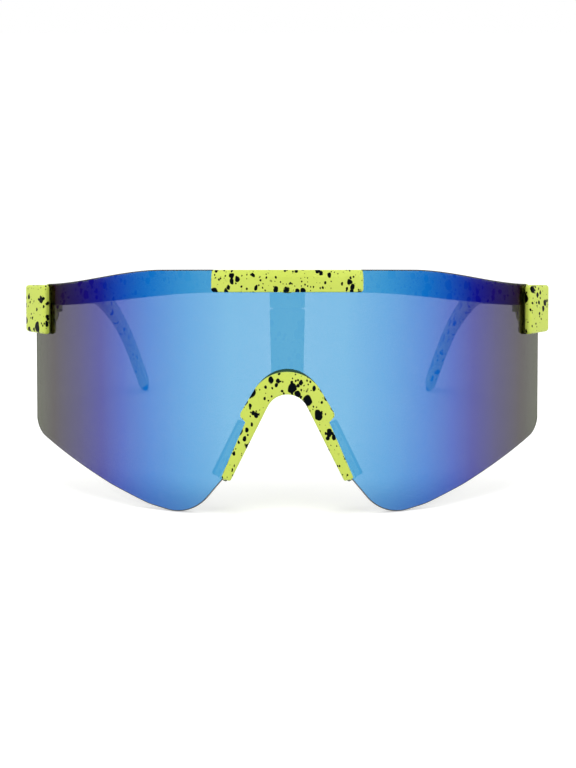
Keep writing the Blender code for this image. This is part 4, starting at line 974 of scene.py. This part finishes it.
def tiltLink(side):
    # the disc that turns on the ear, the neck behind it and the rail for the sleeve
    inner, outer, cheek = hardware["linkFrom"], hardware["linkTo"], hardware["cheek"]
    pivot, bevel, up, out = hinge["pivot"], hardware["neckBevel"], rail["height"] / 2, rail["thickness"] / 2
    return [
        turned(drum(hinge["disc"], -outer, -inner, bevel), sideways(side, pivot, hinge["pivotLevel"]), 96),
        plate(side, (pivot, hardware["neckEnd"]), (hardware["neckLow"], hardware["neckHigh"]),
              (inner + cheek, outer - cheek), hardware["neckFillet"], bevel),
        plate(side, (pivot + rail["inset"], rail["end"]), (arm["level"] - up, arm["level"] + up),
              (arm["middle"] - out, arm["middle"] + out), rail["fillet"], rail["bevel"]),
    ]


def slotted(head, seat, top, shaft, foot, put):
    # a screw: shaft and head turned in one, and on the head two half-round lands with the driver's slot between
    floor = top - hardware["slotDeep"]
    body = [(0, foot), (shaft - 0.1, foot), (shaft, foot + 0.1), (shaft, seat),
            (head, seat), (head, floor), (0, floor)]
    start = math.asin(hardware["slotWide"] / 2 / head)
    angle = np.linspace(start, math.pi - start, 25)
    land = head * np.c_[np.cos(angle), np.sin(angle)]
    return [turned(body, put)] + [
        block(land * flip, floor - hardware["landSunk"], top, hardware["landRound"], put) for flip in (1, -1)]


run = hinge["run"]
pinTop = hinge["bottom"] + 2 * hinge["lug"] + hinge["middle"] + 2 * channelGap
pinSeat, pinFoot = pinTop - hinge["pinHeadHeight"] + run, hinge["bottom"] + hardware["foldFoot"]
tiltSeat = run - hinge["screwSink"] - hinge["earFrom"]
slideSeat = run - arm["middle"] + arm["thickness"] / 2
for side, word in sides:
    pivot = sideways(side, hinge["pivot"], hinge["pivotLevel"])
    sleeve = sideways(side, slide["headPlace"], arm["level"])
    addPiece("hingeBlock_" + word, hingeBlock(side), "plastic", "hinge_" + word, "hinge_block_" + word)
    addPiece("tiltLink_" + word, tiltLink(side), "plastic", "link_" + word, "tilt_link_" + word)
    for kind, body, head, seat, top, shaft, foot, put in (
        ("fold", "hinge_", hinge["pinHead"], pinSeat, pinTop, hinge["pin"], pinFoot, temple(side)),
        ("tilt", "hinge_", hinge["screwHead"], tiltSeat, tiltSeat + hinge["screwHeadHeight"], hinge["screw"],
         hardware["tiltFoot"], pivot),
        ("slide", "link_", slide["head"], slideSeat, slideSeat + slide["headHeight"], slide["screw"], slide["foot"],
         sleeve),
    ):
        addPiece(kind + "Screw_" + word, slotted(head, seat, top, shaft, foot, put), "steel", body + word,
                 kind + "_screw_" + word)
print("hinges made")


# Stage and light

stage = {"half": 6.0, "tone": 0.80, "near": 0.41, "far": 0.75, "from": 0.25, "to": 1.3}


def rays(look):
    # 1 for rays from the camera, and 1 for those from mirrors and through clear things
    camera, glossy, passed = look.node("ShaderNodeLightPath", output=(
        "Is Camera Ray", "Is Glossy Ray", "Is Transmission Ray"))
    return camera, glossy.most(passed)


def studioWhite(name):
    # Pale floor that looks white to the camera and in mirrors, yet keeps the object's shadow. Further out, where
    # the lamps are far, it glows a little more.
    look = Looks(name)
    camera, mirrored = rays(look)
    away = look.node("ShaderNodeVectorMath", {"operation": "LENGTH"}, [look.place()], "Value")
    glow = away.step(stage["from"], stage["to"]) * (stage["far"] - stage["near"]) + stage["near"]
    white = (1.0, 1.0, 1.0, 1.0)
    plain = look.node("ShaderNodeBsdfDiffuse", None, {"Color": (stage["tone"],) * 3 + (1.0,)})
    light = look.node("ShaderNodeEmission", None, {"Color": white, "Strength": camera * glow})
    both = look.node("ShaderNodeAddShader", None, [plain, light])
    mirror = look.node("ShaderNodeEmission", None, {"Color": white, "Strength": 1.0})
    look.node("ShaderNodeOutputMaterial", None, [look.node("ShaderNodeMixShader", None, [mirrored, both, mirror])])
    return look.material


def makeStage():
    # a square floor about the object, seen as white on all sides
    half = stage["half"]
    mesh = bpy.data.meshes.new("studioFloor")
    mesh.from_pydata([(-half, -half, 0), (half, -half, 0), (half, half, 0), (-half, half, 0)], [], [(0, 1, 2, 3)])
    mesh.materials.append(studioWhite("studio_white"))
    floor = linked("studioFloor", mesh)


lamps = (
    # name, place (m), turn (degrees), size (m), power (W)
    ("leftLight", (-0.65, -0.50, 0.38), (67, 0, -52), 0.7, 3.0),
    ("rightLight", (0.65, -0.50, 0.38), (67, 0, 52), 0.7, 2.8),
    ("topLight", (0.0, 0.05, 0.95), (2, 0, 0), 0.9, 5.6),
)
sky = {"lit": 0.37, "seen": 1.0}


def makeLights():
    # two square lamps in front and one above, which mirrors don't show, and a white world that lights the object
    # less than it is seen
    for name, place, turn, size, power in lamps:
        data = bpy.data.lights.new(name, "AREA")
        data.shape, data.size, data.energy = "SQUARE", size, power
        lamp = linked(name, data)
        lamp.location = place
        lamp.rotation_euler = [math.radians(angle) for angle in turn]
        lamp.visible_glossy = False
    world = bpy.data.worlds.new("studio")
    bpy.context.scene.world = world
    look = Looks("studio", world)
    camera, mirrored = rays(look)
    glow = look.node("ShaderNodeBackground", None, {
        "Color": (1.0, 1.0, 1.0, 1.0), "Strength": camera.most(mirrored) * (sky["seen"] - sky["lit"]) + sky["lit"]})
    look.node("ShaderNodeOutputWorld", None, [glow])


makeStage()
makeLights()
bpy.context.scene.view_settings.view_transform = "Standard"
print("stage lit")
